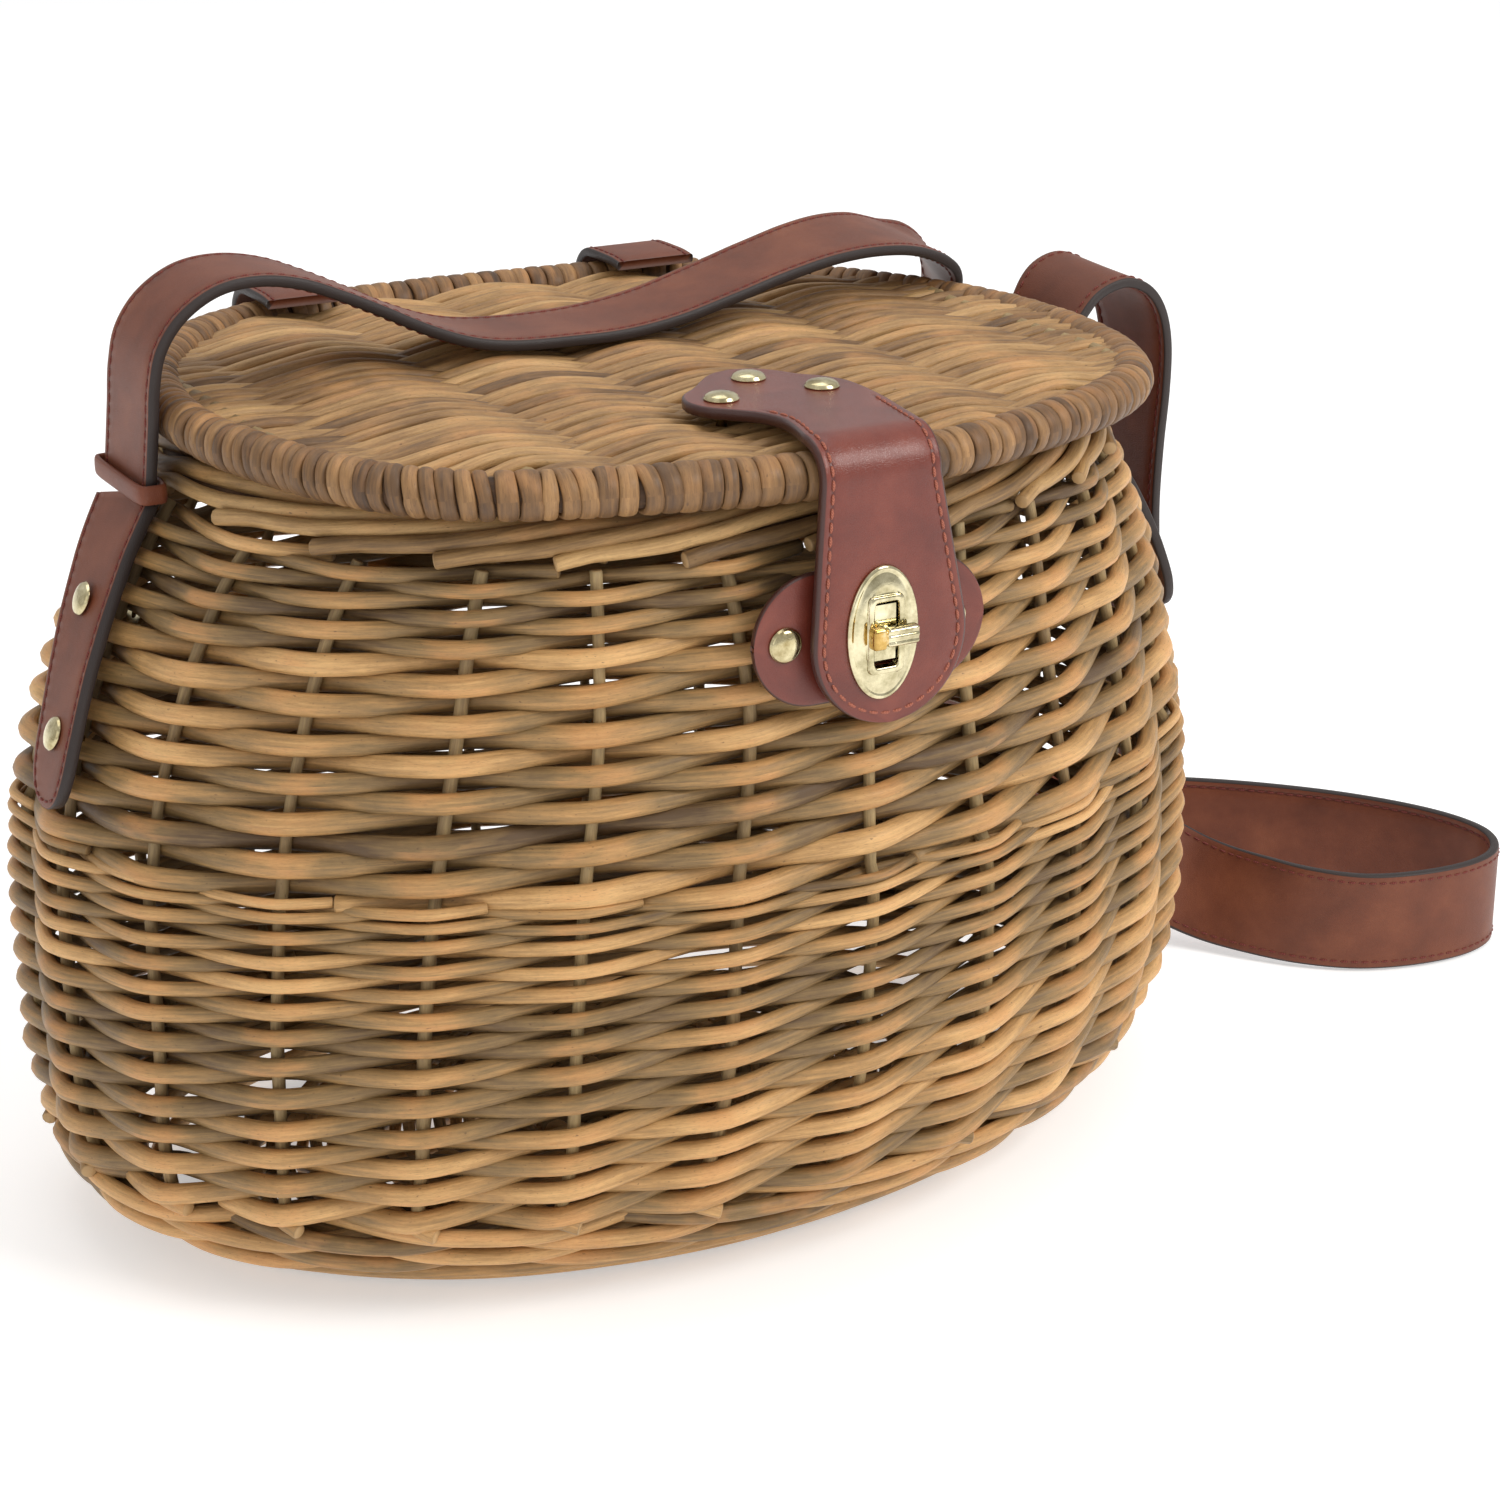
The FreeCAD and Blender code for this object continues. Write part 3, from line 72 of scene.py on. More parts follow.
# ------------------------------------------------------------------ wall surface
LEVELS = np.array([
    (0.0, 128.5, 83.0, 76.0, 2.0, 2.3, -5.5),
    (5.5, 146.0, 96.0, 86.0, 2.0, 2.4, -5.5),
    (15.0, 160.0, 107.0, 92.5, 1.95, 2.5, -4.5),
    (33.0, 169.5, 119.5, 98.0, 1.92, 2.5, -3.0),
    (54.5, 173.5, 127.5, 101.5, 1.9, 2.6, -1.5),
    (82.0, 174.5, 132.0, 103.0, 1.88, 2.6, -1.0),
    (109.0, 173.5, 133.0, 103.0, 1.86, 2.6, -1.0),
    (136.0, 168.5, 132.5, 102.0, 1.85, 2.6, -1.0),
    (163.5, 159.0, 130.5, 100.0, 1.9, 2.5, -0.5),
    (191.0, 144.0, 126.5, 96.5, 2.1, 2.4, -1.0),
    (218.0, 123.0, 121.0, 93.0, 2.5, 2.3, -2.0)])


def pchip(xs, ys, x):
    """Monotone cubic through a table, the same rule as the CAD source."""
    xs, ys = np.asarray(xs, float), np.asarray(ys, float)
    h = np.diff(xs)
    d = np.diff(ys) / h
    m = np.zeros(len(xs))
    m[0], m[-1] = d[0], d[-1]
    for i in range(1, len(xs) - 1):
        if d[i - 1] * d[i] > 0:
            w1, w2 = 2 * h[i] + h[i - 1], h[i] + 2 * h[i - 1]
            m[i] = (w1 + w2) / (w1 / d[i - 1] + w2 / d[i])
    x = np.clip(np.asarray(x, float), xs[0], xs[-1])
    i = np.clip(np.searchsorted(xs, x, side="right") - 1, 0, len(xs) - 2)
    t = (x - xs[i]) / h[i]
    return ((2 * t ** 3 - 3 * t ** 2 + 1) * ys[i] + (t ** 3 - 2 * t ** 2 + t) * h[i] * m[i]
            + (-2 * t ** 3 + 3 * t ** 2) * ys[i + 1] + (t ** 3 - t ** 2) * h[i] * m[i + 1])


_zt = np.arange(0.0, 218.01, 0.25)
_lt = np.array([pchip(LEVELS[:, 0], LEVELS[:, k], _zt) for k in range(1, 7)])


def wall(ang, z, off=0.0):
    """Points on the wall's outer envelope, moved in or out level by off."""
    ang, z, off = np.broadcast_arrays(np.asarray(ang, float), np.asarray(z, float), np.asarray(off, float))
    zc = np.clip(z, 0, 218)
    w, f, b, nf, nb, cx = [np.interp(zc, _zt, _lt[k]) for k in range(6)]
    c, s = np.cos(ang), np.sin(ang)
    n = np.where(s < 0, nf, nb)
    d = np.where(s < 0, f, b) + off
    x = (w + off) * np.sign(c) * np.abs(c) ** (2 / n) + cx
    y = d * np.sign(s) * np.abs(s) ** (2 / n)
    return np.stack([x, y, z], -1)


# arc length from the middle of the front, to the right, at the widest level
_at = np.linspace(-PI / 2, 1.5 * PI, 7201)
_pt = wall(_at, np.full_like(_at, 110.0))
_st = np.r_[0, np.cumsum(np.linalg.norm(np.diff(_pt, axis=0), axis=1))]
PERIM = _st[-1]


def ang_of(s):
    return np.interp(np.mod(s, PERIM), _st, _at)


N = 24
PITCH = PERIM / N
LEAN = np.zeros(N + 1)
for _k, _v in {-7: -5, -6: -10, -5: -10, -4: -6, -3: 1, -2: 1, -1: 5, 0: -2, 1: -8, 2: -12, 3: -12, 4: -8, 5: -4}.items():
    LEAN[_k % N] = _v
LEAN[N] = LEAN[0]


def stake_s(u, z):
    """Place along the perimeter of stake coordinate u (stakes are whole numbers)."""
    um = np.mod(u, N)
    lean = np.interp(um, np.arange(N + 1), LEAN)
    return 4.0 + PITCH * u + lean * np.clip((np.asarray(z, float) - 110.0) / 95.0, 0, 1.2)


def on_wall(u, z, depth):
    """Point and outward direction at stake coordinate u and height z, depth inward of the envelope."""
    u, z = np.broadcast_arrays(np.asarray(u, float), np.asarray(z, float))
    a = ang_of(stake_s(u, z))
    e = 0.01
    p = wall(a, z)
    da = wall(a + e, z) - wall(a - e, z)
    zl, zh = np.clip(z - 1.0, 0, 217), np.clip(z + 1.0, 1, 218)
    dz = wall(a, zh) - wall(a, zl)
    nrm = np.cross(da, dz)
    nrm /= np.linalg.norm(nrm, axis=-1, keepdims=True)
    k = np.interp(z, [60, 190], [1.0, 0.3])
    nrm[..., 2] *= k
    nrm /= np.linalg.norm(nrm, axis=-1, keepdims=True)
    return p - nrm * np.asarray(depth, float)[..., None], nrm


# ------------------------------------------------------------------ mesh collector
class Mesh:
    def __init__(self):
        self.v, self.q, self.t, self.uvq, self.uvt = [], [], [], [], []
        self.mq, self.mt, self.att, self.n = [], [], {}, 0

    def add(self, verts, quads=None, tris=None, uvq=None, uvt=None, mat=0, **att):
        verts = np.asarray(verts, float).reshape(-1, 3)
        nv = len(verts)
        for k in set(self.att) | set(att):
            old = self.att.get(k)
            if old is None:
                old = [np.zeros(self.n)]
            new = np.broadcast_to(np.asarray(att.get(k, 0.0), float), (nv,))
            self.att[k] = old + [new]
        self.v.append(verts)
        if quads is not None and len(quads):
            quads = np.asarray(quads, int)
            self.q.append(quads + self.n)
            self.uvq.append(np.zeros((len(quads), 4, 2)) if uvq is None else np.asarray(uvq, float))
            self.mq.append(np.full(len(quads), mat))
        if tris is not None and len(tris):
            tris = np.asarray(tris, int)
            self.t.append(tris + self.n)
            self.uvt.append(np.zeros((len(tris), 3, 2)) if uvt is None else np.asarray(uvt, float))
            self.mt.append(np.full(len(tris), mat))
        self.n += nv

    def make(self, name, mats):
        v = np.concatenate(self.v) * MM
        q = np.concatenate(self.q) if self.q else np.zeros((0, 4), int)
        t = np.concatenate(self.t) if self.t else np.zeros((0, 3), int)
        me = bpy.data.meshes.new(name)
        me.vertices.add(len(v))
        me.vertices.foreach_set("co", v.astype(np.float32).ravel())
        idx = np.r_[q.ravel(), t.ravel()].astype(np.int32)
        me.loops.add(len(idx))
        me.loops.foreach_set("vertex_index", idx)
        me.polygons.add(len(q) + len(t))
        starts = np.r_[np.arange(len(q)) * 4, len(q) * 4 + np.arange(len(t)) * 3].astype(np.int32)
        me.polygons.foreach_set("loop_start", starts)
        mats_i = np.concatenate([*self.mq, *self.mt]).astype(np.int32)
        me.update(calc_edges=True)
        me.polygons.foreach_set("material_index", mats_i)
        uv = me.uv_layers.new(name="UVMap")
        data = [np.concatenate(self.uvq).reshape(-1, 2)] if self.uvq else []
        data += [np.concatenate(self.uvt).reshape(-1, 2)] if self.uvt else []
        uv.data.foreach_set("uv", np.concatenate(data).astype(np.float32).ravel())
        for k, parts in self.att.items():
            a = me.attributes.new(k, "FLOAT", "POINT")
            a.data.foreach_set("value", np.concatenate(parts).astype(np.float32))
        me.polygons.foreach_set("use_smooth", np.ones(len(q) + len(t), bool))
        me.validate()
        me.update()
        ob = bpy.data.objects.new(name, me)
        bpy.context.scene.collection.objects.link(ob)
        for m in mats:
            me.materials.append(m)
        return ob


def unit(v):
    return v / np.maximum(np.linalg.norm(v, axis=-1, keepdims=True), 1e-9)


def smooth_noise(n, steps, amp=1.0):
    """Smooth random line of n values with about one wave per `steps` values."""
    k = max(2, int(n / steps) + 2)
    a = rng.normal(0, amp, k)
    x = np.linspace(0, k - 1, n)
    i = np.clip(x.astype(int), 0, k - 2)
    t = x - i
    t = t * t * (3 - 2 * t)
    return a[i] * (1 - t) + a[i + 1] * t


def tube(mesh, path, nrm, rad, sides=10, wide=1.0, closed=False, cap=(1, 1), mat=0, tone=0.5, over=0.5, v0=0.0, square=2.0, **att):
    """Rod along path. nrm is the direction its section's first axis keeps to; wide stretches the second axis."""
    path = np.asarray(path, float)
    n = len(path)
    if closed:
        tan = unit(np.roll(path, -1, 0) - np.roll(path, 1, 0))
    else:
        tan = unit(np.gradient(path, axis=0))
    nrm = np.broadcast_to(np.asarray(nrm, float), path.shape)
    nn = unit(nrm - tan * (nrm * tan).sum(-1, keepdims=True))
    bb = np.cross(tan, nn)
    rad = np.broadcast_to(np.asarray(rad, float), (n,))
    wide = np.broadcast_to(np.asarray(wide, float), (n,))
    ph = 2 * PI * np.arange(sides) / sides
    c, s = np.cos(ph), np.sin(ph)
    if square != 2.0:
        c, s = np.sign(c) * np.abs(c) ** (2 / square), np.sign(s) * np.abs(s) ** (2 / square)
    ring = (path[:, None] + nn[:, None] * (c[None, :, None] * rad[:, None, None])
            + bb[:, None] * (s[None, :, None] * (rad * wide)[:, None, None]))
    seg = np.r_[0, np.cumsum(np.linalg.norm(np.diff(path, axis=0), axis=1))]
    m = n if closed else n - 1
    i = np.arange(m)[:, None]
    j = np.arange(sides)[None, :]
    i2, j2 = (i + 1) % n, (j + 1) % sides
    quads = np.stack([i * sides + j, i * sides + j2, i2 * sides + j2, i2 * sides + j], -1).reshape(-1, 4)
    lu = np.r_[seg, seg[-1] + (np.linalg.norm(path[0] - path[-1]) if closed else 0)] / 100.0
    circ = 2 * PI * float(np.mean(rad * (1 + wide) / 2)) / 100.0
    a0, a1 = np.broadcast_to(lu[i], (m, sides)), np.broadcast_to(lu[i + 1], (m, sides))
    b0, b1 = np.broadcast_to(j / sides * circ + v0, (m, sides)), np.broadcast_to((j + 1) / sides * circ + v0, (m, sides))
    uvq = np.stack([np.stack([a0, b0], -1), np.stack([a0, b1], -1), np.stack([a1, b1], -1), np.stack([a1, b0], -1)], 2).reshape(-1, 4, 2)
    at = {"tone": np.repeat(np.broadcast_to(tone, (n,)), sides), "over": np.repeat(np.broadcast_to(over, (n,)), sides),
          "cut": np.zeros(n * sides)}
    for k, v in att.items():
        at[k] = np.repeat(np.broadcast_to(np.asarray(v, float), (n,)), sides)
    verts = ring.reshape(-1, 3)
    tris, uvt = [], []
    if not closed:
        extra = []
        base = len(verts)
        for end, on in ((0, cap[0]), (n - 1, cap[1])):
            if not on:
                continue
            # a slightly sunk, hard-edged cut end: one more ring, then a centre
            o = end * sides
            inner = path[end] + (verts[o:o + sides] - path[end]) * 0.82
            d = -tan[end] if end == 0 else tan[end]
            inner = inner + d * 0.18 * rad[end]
            cen = path[end] + d * 0.12 * rad[end]
            b = base + len(extra)
            extra += list(inner) + [cen]
            for q in range(sides):
                q2 = (q + 1) % sides
                if end == 0:
                    tris += [(o + q2, o + q, b + q), (o + q2, b + q, b + q2), (b + q2, b + q, b + sides)]
                else:
                    tris += [(o + q, o + q2, b + q), (o + q2, b + q2, b + q), (b + q, b + q2, b + sides)]
            uvt += [[(0, 0), (0.01, 0), (0, 0.01)]] * (3 * sides)
        if extra:
            verts = np.vstack([verts, extra])
            k = len(extra)
            for key in at:
                lastv = at[key][-1] if key != "cut" else 1.0
                at[key] = np.r_[at[key], np.full(k, lastv)]
    mesh.add(verts, quads=quads, tris=tris, uvq=uvq, uvt=uvt, mat=mat, **at)


# ------------------------------------------------------------------ materials
def srgb(r, g, b):
    def f(c):
        c = c / 255.0
        return c / 12.92 if c <= 0.04045 else ((c + 0.055) / 1.055) ** 2.4
    return (f(r), f(g), f(b), 1.0)


class Nodes:
    def __init__(self, name):
        self.mat = bpy.data.materials.new(name)
        self.mat.use_nodes = True
        self.t = self.mat.node_tree
        self.t.nodes.clear()
        self.out = self.t.nodes.new("ShaderNodeOutputMaterial")
        self.bsdf = self.t.nodes.new("ShaderNodeBsdfPrincipled")
        self.t.links.new(self.bsdf.outputs[0], self.out.inputs[0])
        self.x = -200

    def new(self, kind, **props):
        n = self.t.nodes.new(kind)
        for k, v in props.items():
            setattr(n, k, v)
        return n

    def link(self, a, b):
        self.t.links.new(a, b)

    def att(self, name):
        n = self.new("ShaderNodeAttribute")
        n.attribute_name = name
        return n.outputs["Fac"]

    def coords(self, kind="UV", scale=(1, 1, 1)):
        tc = self.new("ShaderNodeTexCoord")
        mp = self.new("ShaderNodeMapping")
        mp.inputs["Scale"].default_value = scale
        self.link(tc.outputs[kind], mp.inputs["Vector"])
        return mp.outputs[0]

    def noise(self, vec, scale, detail=3.0, rough=0.55, dist=0.0):
        n = self.new("ShaderNodeTexNoise")
        n.inputs["Scale"].default_value = scale
        n.inputs["Detail"].default_value = detail
        n.inputs["Roughness"].default_value = rough
        n.inputs["Distortion"].default_value = dist
        self.link(vec, n.inputs["Vector"])
        return n.outputs["Fac"]

    def voronoi(self, vec, scale, feature="F1", out="Distance"):
        n = self.new("ShaderNodeTexVoronoi")
        n.feature = feature
        n.inputs["Scale"].default_value = scale
        self.link(vec, n.inputs["Vector"])
        return n.outputs[out]

    def ramp(self, fac, stops, mode="LINEAR"):
        n = self.new("ShaderNodeValToRGB")
        n.color_ramp.interpolation = mode
        el = n.color_ramp.elements
        while len(el) < len(stops):
            el.new(0.5)
        for e, (p, c) in zip(el, stops):
            e.position = p
            e.color = c if len(c) == 4 else (*c, 1)
        self.link(fac, n.inputs[0])
        return n.outputs[0]

    def mix(self, fac, a, b, mode="MIX"):
        n = self.new("ShaderNodeMix")
        n.data_type = "RGBA"
        n.blend_type = mode
        n.clamp_factor = True
        if isinstance(fac, (int, float)):
            n.inputs[0].default_value = fac
        else:
            self.link(fac, n.inputs[0])
        for i, v in ((6, a), (7, b)):
            if isinstance(v, tuple):
                n.inputs[i].default_value = v
            else:
                self.link(v, n.inputs[i])
        return n.outputs[2]

    def math(self, op, a, b=None, c=None, clamp=False):
        n = self.new("ShaderNodeMath")
        n.operation = op
        n.use_clamp = clamp
        for i, v in enumerate((a, b, c)):
            if v is None:
                continue
            if isinstance(v, (int, float)):
                n.inputs[i].default_value = v
            else:
                self.link(v, n.inputs[i])
        return n.outputs[0]

    def remap(self, v, a, b, c=0.0, d=1.0):
        n = self.new("ShaderNodeMapRange")
        n.clamp = True
        self.link(v, n.inputs[0])
        for i, q in zip((1, 2, 3, 4), (a, b, c, d)):
            n.inputs[i].default_value = q
        return n.outputs[0]

    def bump(self, height, strength, dist=0.001, normal=None):
        n = self.new("ShaderNodeBump")
        n.inputs["Strength"].default_value = strength
        n.inputs["Distance"].default_value = dist
        self.link(height, n.inputs["Height"])
        if normal is not None:
            self.link(normal, n.inputs["Normal"])
        return n.outputs[0]


def willow(name, dark, mid, light, gold, rough=(0.42, 0.66), coat=0.12):
    """Steamed willow: streaks along the rod, per-rod tone, crowns painted lighter (painted highlight) and recesses
    darker (painted shade), orange crown patches, bark flecks.
    """
    m = Nodes(name)
    long_uv = m.coords("UV", (1.0, 14.0, 1.0))
    fine_uv = m.coords("UV", (6.0, 90.0, 1.0))
    spot_uv = m.coords("UV", (1.0, 2.2, 1.0))
    streak = m.noise(long_uv, 7.0, 5.0, 0.6)
    fine = m.noise(fine_uv, 9.0, 3.0, 0.6)
    blot = m.noise(spot_uv, 6.0, 3.0, 0.55)
    tone = m.att("tone")
    over = m.att("over")
    cut = m.att("cut")
    v = m.math("MULTIPLY_ADD", streak, 0.64, m.math("MULTIPLY_ADD", tone, 0.50, m.math("MULTIPLY", blot, 0.42)))
    # painted highlight and painted shade: over near 1 (rod crossing in front) lightens the colour, over near 0 (rod
    # behind, in a recess) darkens it; parts lying behind others get low constant values
    v = m.math("ADD", v, m.math("MULTIPLY_ADD", over, 0.20, -0.34))
    col = m.ramp(v, [(0.18, dark), (0.42, mid), (0.62, light), (0.86, gold)])
    # orange patches on the crowns, where the blot noise and the crown mask meet
    warm = m.remap(m.math("MULTIPLY", m.remap(blot, 0.42, 0.66), m.remap(over, 0.35, 0.95)), 0.1, 0.9)
    col = m.mix(m.math("MULTIPLY", warm, 0.42), col, srgb(206, 142, 84), "MIX")
    # thin dark fibres
    fib = m.remap(fine, 0.30, 0.46, 1.0, 0.0)
    col = m.mix(m.math("MULTIPLY", fib, 0.45), col, dark, "MIX")
    # bark flecks
    fleck = m.remap(m.noise(m.coords("UV", (3.0, 6.0, 1.0)), 21.0, 2.0, 0.5), 0.69, 0.75)
    col = m.mix(m.math("MULTIPLY", fleck, 0.6), col, srgb(84, 58, 38), "MIX")
    # cut ends: paler ring of wood
    col = m.mix(m.math("MULTIPLY", cut, 0.7), col, srgb(196, 160, 112), "MIX")
    m.link(col, m.bsdf.inputs["Base Color"])
    m.link(m.remap(streak, 0.25, 0.75, rough[0], rough[1]), m.bsdf.inputs["Roughness"])
    h = m.math("MULTIPLY_ADD", fine, 0.35, m.math("MULTIPLY", streak, 0.65))
    m.link(m.bump(h, 0.55, 0.0007), m.bsdf.inputs["Normal"])
    m.bsdf.inputs["Coat Weight"].default_value = coat
    m.bsdf.inputs["Coat Roughness"].default_value = 0.34
    m.bsdf.inputs["Specular IOR Level"].default_value = 0.45
    return m.mat


def leather(name, base, deep, light, edge, rough=(0.34, 0.5), coat=0.15, spec=0.4):
    """Smooth finished hide: pebble grain, soft mottling, burnished seam grooves and painted edges."""
    m = Nodes(name)
    uv = m.coords("UV", (1, 1, 1))
    mott = m.noise(uv, 5.0, 4.0, 0.6)
    grain = m.voronoi(uv, 210.0, "DISTANCE_TO_EDGE")
    pores = m.noise(uv, 330.0, 2.0, 0.5)
    edge_a, seam, back = m.att("edge"), m.att("seam"), m.att("back")
    col = m.ramp(mott, [(0.30, deep), (0.50, base), (0.72, light)])
    col = m.mix(m.math("MULTIPLY", m.remap(grain, 0.0, 0.12, 1.0, 0.0), 0.22), col, deep, "MIX")
    col = m.mix(m.math("MULTIPLY", seam, 0.75), col, srgb(74, 28, 22), "MIX")
    rim = m.remap(m.math("MULTIPLY_ADD", mott, 0.25, edge_a), 0.35, 0.75)
    col = m.mix(rim, col, edge, "MIX")
    fuzz = m.ramp(m.noise(uv, 160.0, 4.0, 0.7), [(0.3, srgb(74, 50, 42)), (0.7, srgb(112, 80, 66))])
    col = m.mix(back, col, fuzz, "MIX")
    m.link(col, m.bsdf.inputs["Base Color"])
    r = m.remap(pores, 0.3, 0.7, rough[0], rough[1])
    r = m.math("MAXIMUM", r, m.math("MULTIPLY", back, 0.85))
    m.link(r, m.bsdf.inputs["Roughness"])
    h = m.math("MULTIPLY_ADD", m.remap(grain, 0.0, 0.25), 0.6, m.math("MULTIPLY", pores, 0.4))
    m.link(m.bump(h, 0.22, 0.0004), m.bsdf.inputs["Normal"])
    m.bsdf.inputs["Coat Weight"].default_value = coat
    m.bsdf.inputs["Coat Roughness"].default_value = 0.28
    m.bsdf.inputs["Specular IOR Level"].default_value = spec
    return m.mat


def thread(name, a, b):
    m = Nodes(name)
    uv = m.coords("UV", (1, 1, 1))
    tw = m.new("ShaderNodeTexWave")
    tw.inputs["Scale"].default_value = 90.0
    tw.inputs["Distortion"].default_value = 1.5
    tw.bands_direction = "DIAGONAL"
    m.link(uv, tw.inputs["Vector"])
    m.link(m.mix(tw.outputs["Fac"], a, b), m.bsdf.inputs["Base Color"])
    m.link(m.bump(tw.outputs["Fac"], 0.5, 0.0003), m.bsdf.inputs["Normal"])
    m.link(m.remap(tw.outputs["Fac"], 0, 1, 0.55, 0.75), m.bsdf.inputs["Roughness"])
    return m.mat


def brass(name, base, deep, rough=(0.13, 0.26), scale=1.0):
    """Polished pale brass with soft tarnish, fine wiping scratches and small pits."""
    m = Nodes(name)
    ob = m.coords("Object", (1, 1, 1))
    tarn = m.noise(ob, 160.0 * scale, 4.0, 0.65)
    scr = m.noise(m.coords("Object", (40, 900, 40)), 3.0, 2.0, 0.6)
    pit = m.noise(ob, 1400.0 * scale, 2.0, 0.5)
    col = m.ramp(tarn, [(0.32, deep), (0.55, base), (0.8, srgb(250, 240, 205))])
    m.link(col, m.bsdf.inputs["Base Color"])
    m.bsdf.inputs["Metallic"].default_value = 1.0
    r = m.math("ADD", m.remap(tarn, 0.3, 0.7, rough[0], rough[1]), m.math("MULTIPLY", m.remap(scr, 0.55, 0.75), 0.10))
    m.link(r, m.bsdf.inputs["Roughness"])
    h = m.math("MULTIPLY_ADD", m.remap(pit, 0.62, 0.8), -0.5, m.math("MULTIPLY", scr, 0.25))
    m.link(m.bump(h, 0.12, 0.0003), m.bsdf.inputs["Normal"])
    return m.mat


W_DARK, W_MID = srgb(90, 67, 41), srgb(138, 110, 69)
W_LIGHT, W_GOLD = srgb(182, 140, 87), srgb(224, 178, 118)
mat_body = willow("willow_body", W_DARK, W_MID, W_LIGHT, W_GOLD)
mat_rim = willow("willow_rim", srgb(80, 58, 36), srgb(134, 102, 62), srgb(172, 134, 84), srgb(208, 168, 112))
mat_lid = willow("willow_lid", srgb(80, 56, 34), srgb(134, 100, 62), srgb(172, 134, 86), srgb(208, 168, 114))
# hoop willow: a darker copy of the lid's willow, painted shade for the hoop's shaded front
mat_hoop_painted_shade = willow("willow_hoop_painted_shade", srgb(60, 40, 25), srgb(102, 73, 44), srgb(136, 100, 61), srgb(176, 135, 88))
mat_stake = willow("willow_stake", srgb(104, 84, 56), srgb(150, 126, 88), srgb(176, 152, 108), srgb(200, 174, 126), (0.5, 0.7), 0.05)
# inside willow: a darker copy for the core rods inside the rim and the hoop, painted shade seen in the gaps
mat_core_painted_shade = willow("willow_inside_painted_shade", srgb(54, 38, 26), srgb(86, 60, 38), srgb(112, 82, 54), srgb(140, 106, 70), (0.6, 0.8), 0.0)
mat_strap = leather("strap_leather", srgb(114, 60, 38), srgb(98, 50, 31), srgb(130, 73, 47), srgb(52, 44, 42), (0.4, 0.55), 0.06, 0.3)
mat_flap = leather("flap_leather", srgb(112, 48, 35), srgb(94, 38, 28), srgb(130, 62, 45), srgb(68, 36, 30), (0.26, 0.38), 0.3)
mat_thread = thread("thread_red", srgb(128, 52, 38), srgb(92, 32, 26))
mat_thread_o = thread("thread_orange", srgb(178, 104, 80), srgb(140, 74, 56))
mat_brass = brass("brass_polished", srgb(218, 208, 172), srgb(158, 148, 112), (0.06, 0.14))
mat_brass_g = brass("brass_collar", srgb(206, 170, 100), srgb(160, 124, 62), (0.14, 0.26))
mat_brass_r = brass("brass_rivet", srgb(214, 202, 162), srgb(158, 142, 100), (0.12, 0.26))

# ------------------------------------------------------------------ side weave
Z_LOW = [30.9, 40.9, 50.3, 58.7, 68.1, 77.0, 85.3, 92.6, 99.8, 105.9, 112.2, 117.8, 121.4]
Z_UP = [122.5, 133.5, 144.0, 153.5, 162.8, 172.6, 182.3, 190.6, 198.0, 204.5]


def z_of(table, h):
    t = np.asarray(table, float)
    x = np.arange(len(t)) * 2.0
    h = np.asarray(h, float)
    z = pchip(x, t, h)
    z = np.where(h < 0, t[0] + h * (t[1] - t[0]) / 2, z)
    return np.where(h > x[-1], t[-1] + (h - x[-1]) * (t[-1] - t[-2]) / 2, z)


def pitch_of(table, h):
    return (z_of(table, np.asarray(h) + 0.7) - z_of(table, np.asarray(h) - 0.7)) / 1.4


def crest(h):
    """+1 where the rod is in front of a stake, -1 behind, straight runs between with rounded turns."""
    f = np.mod(np.asarray(h, float), 2.0)
    d = np.minimum(f, 2.0 - f)          # 0 at a front crossing, 1 at a back one
    e = 0.11
    g = lambda q: np.sqrt(q * q + e * e)
    half = lambda q: (g(q) - g(0.0)) / (g(0.5) - g(0.0))
    return np.where(d <= 0.5, 1.0 - half(d), half(1.0 - d) - 1.0)


# over mask for the weave: painted highlight where a rod crosses in front of a stake, painted shade where it passes
# behind
def shown(c):
    return np.clip((c - 0.05) / 0.85, 0.0, 1.0) ** 1.4


def rod_tone():
    return float(np.clip(rng.normal(0.5, 0.2), 0.05, 0.95))


lower = Mesh()
AMP = 3.65
for r in range(N):
    n = 24 * 13
    u = np.linspace(-r - 0.55, 24.35 - r, n)
    h = r + u
    c = crest(h)
    z = z_of(Z_LOW, h) + smooth_noise(n, 14, 0.3)
    rad = np.clip(0.585 * pitch_of(Z_LOW, h), 1.4, 3.0)
    rad = rad * (1 + smooth_noise(n, 9, 0.035)) * rng.uniform(0.95, 1.06)
    rad = np.minimum(rad, 3.0)
    depth = (rad + AMP) - AMP * c + smooth_noise(n, 16, 0.22)
    depth = depth + np.interp(h, [-0.55, -0.1, 24.0, 24.35], [1.5, 0, 0, 1.5])
    p, nn = on_wall(u, z, depth)
    # over: painted highlight on the crowns, painted shade behind the stakes
    tube(lower, p, nn, rad, sides=10, tone=rod_tone() + smooth_noise(n, 40, 0.09), over=shown(c), v0=rng.uniform(0, 3))
obj_lower = lower.make("side_weave_lower", [mat_body])
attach(obj_lower, "basket")

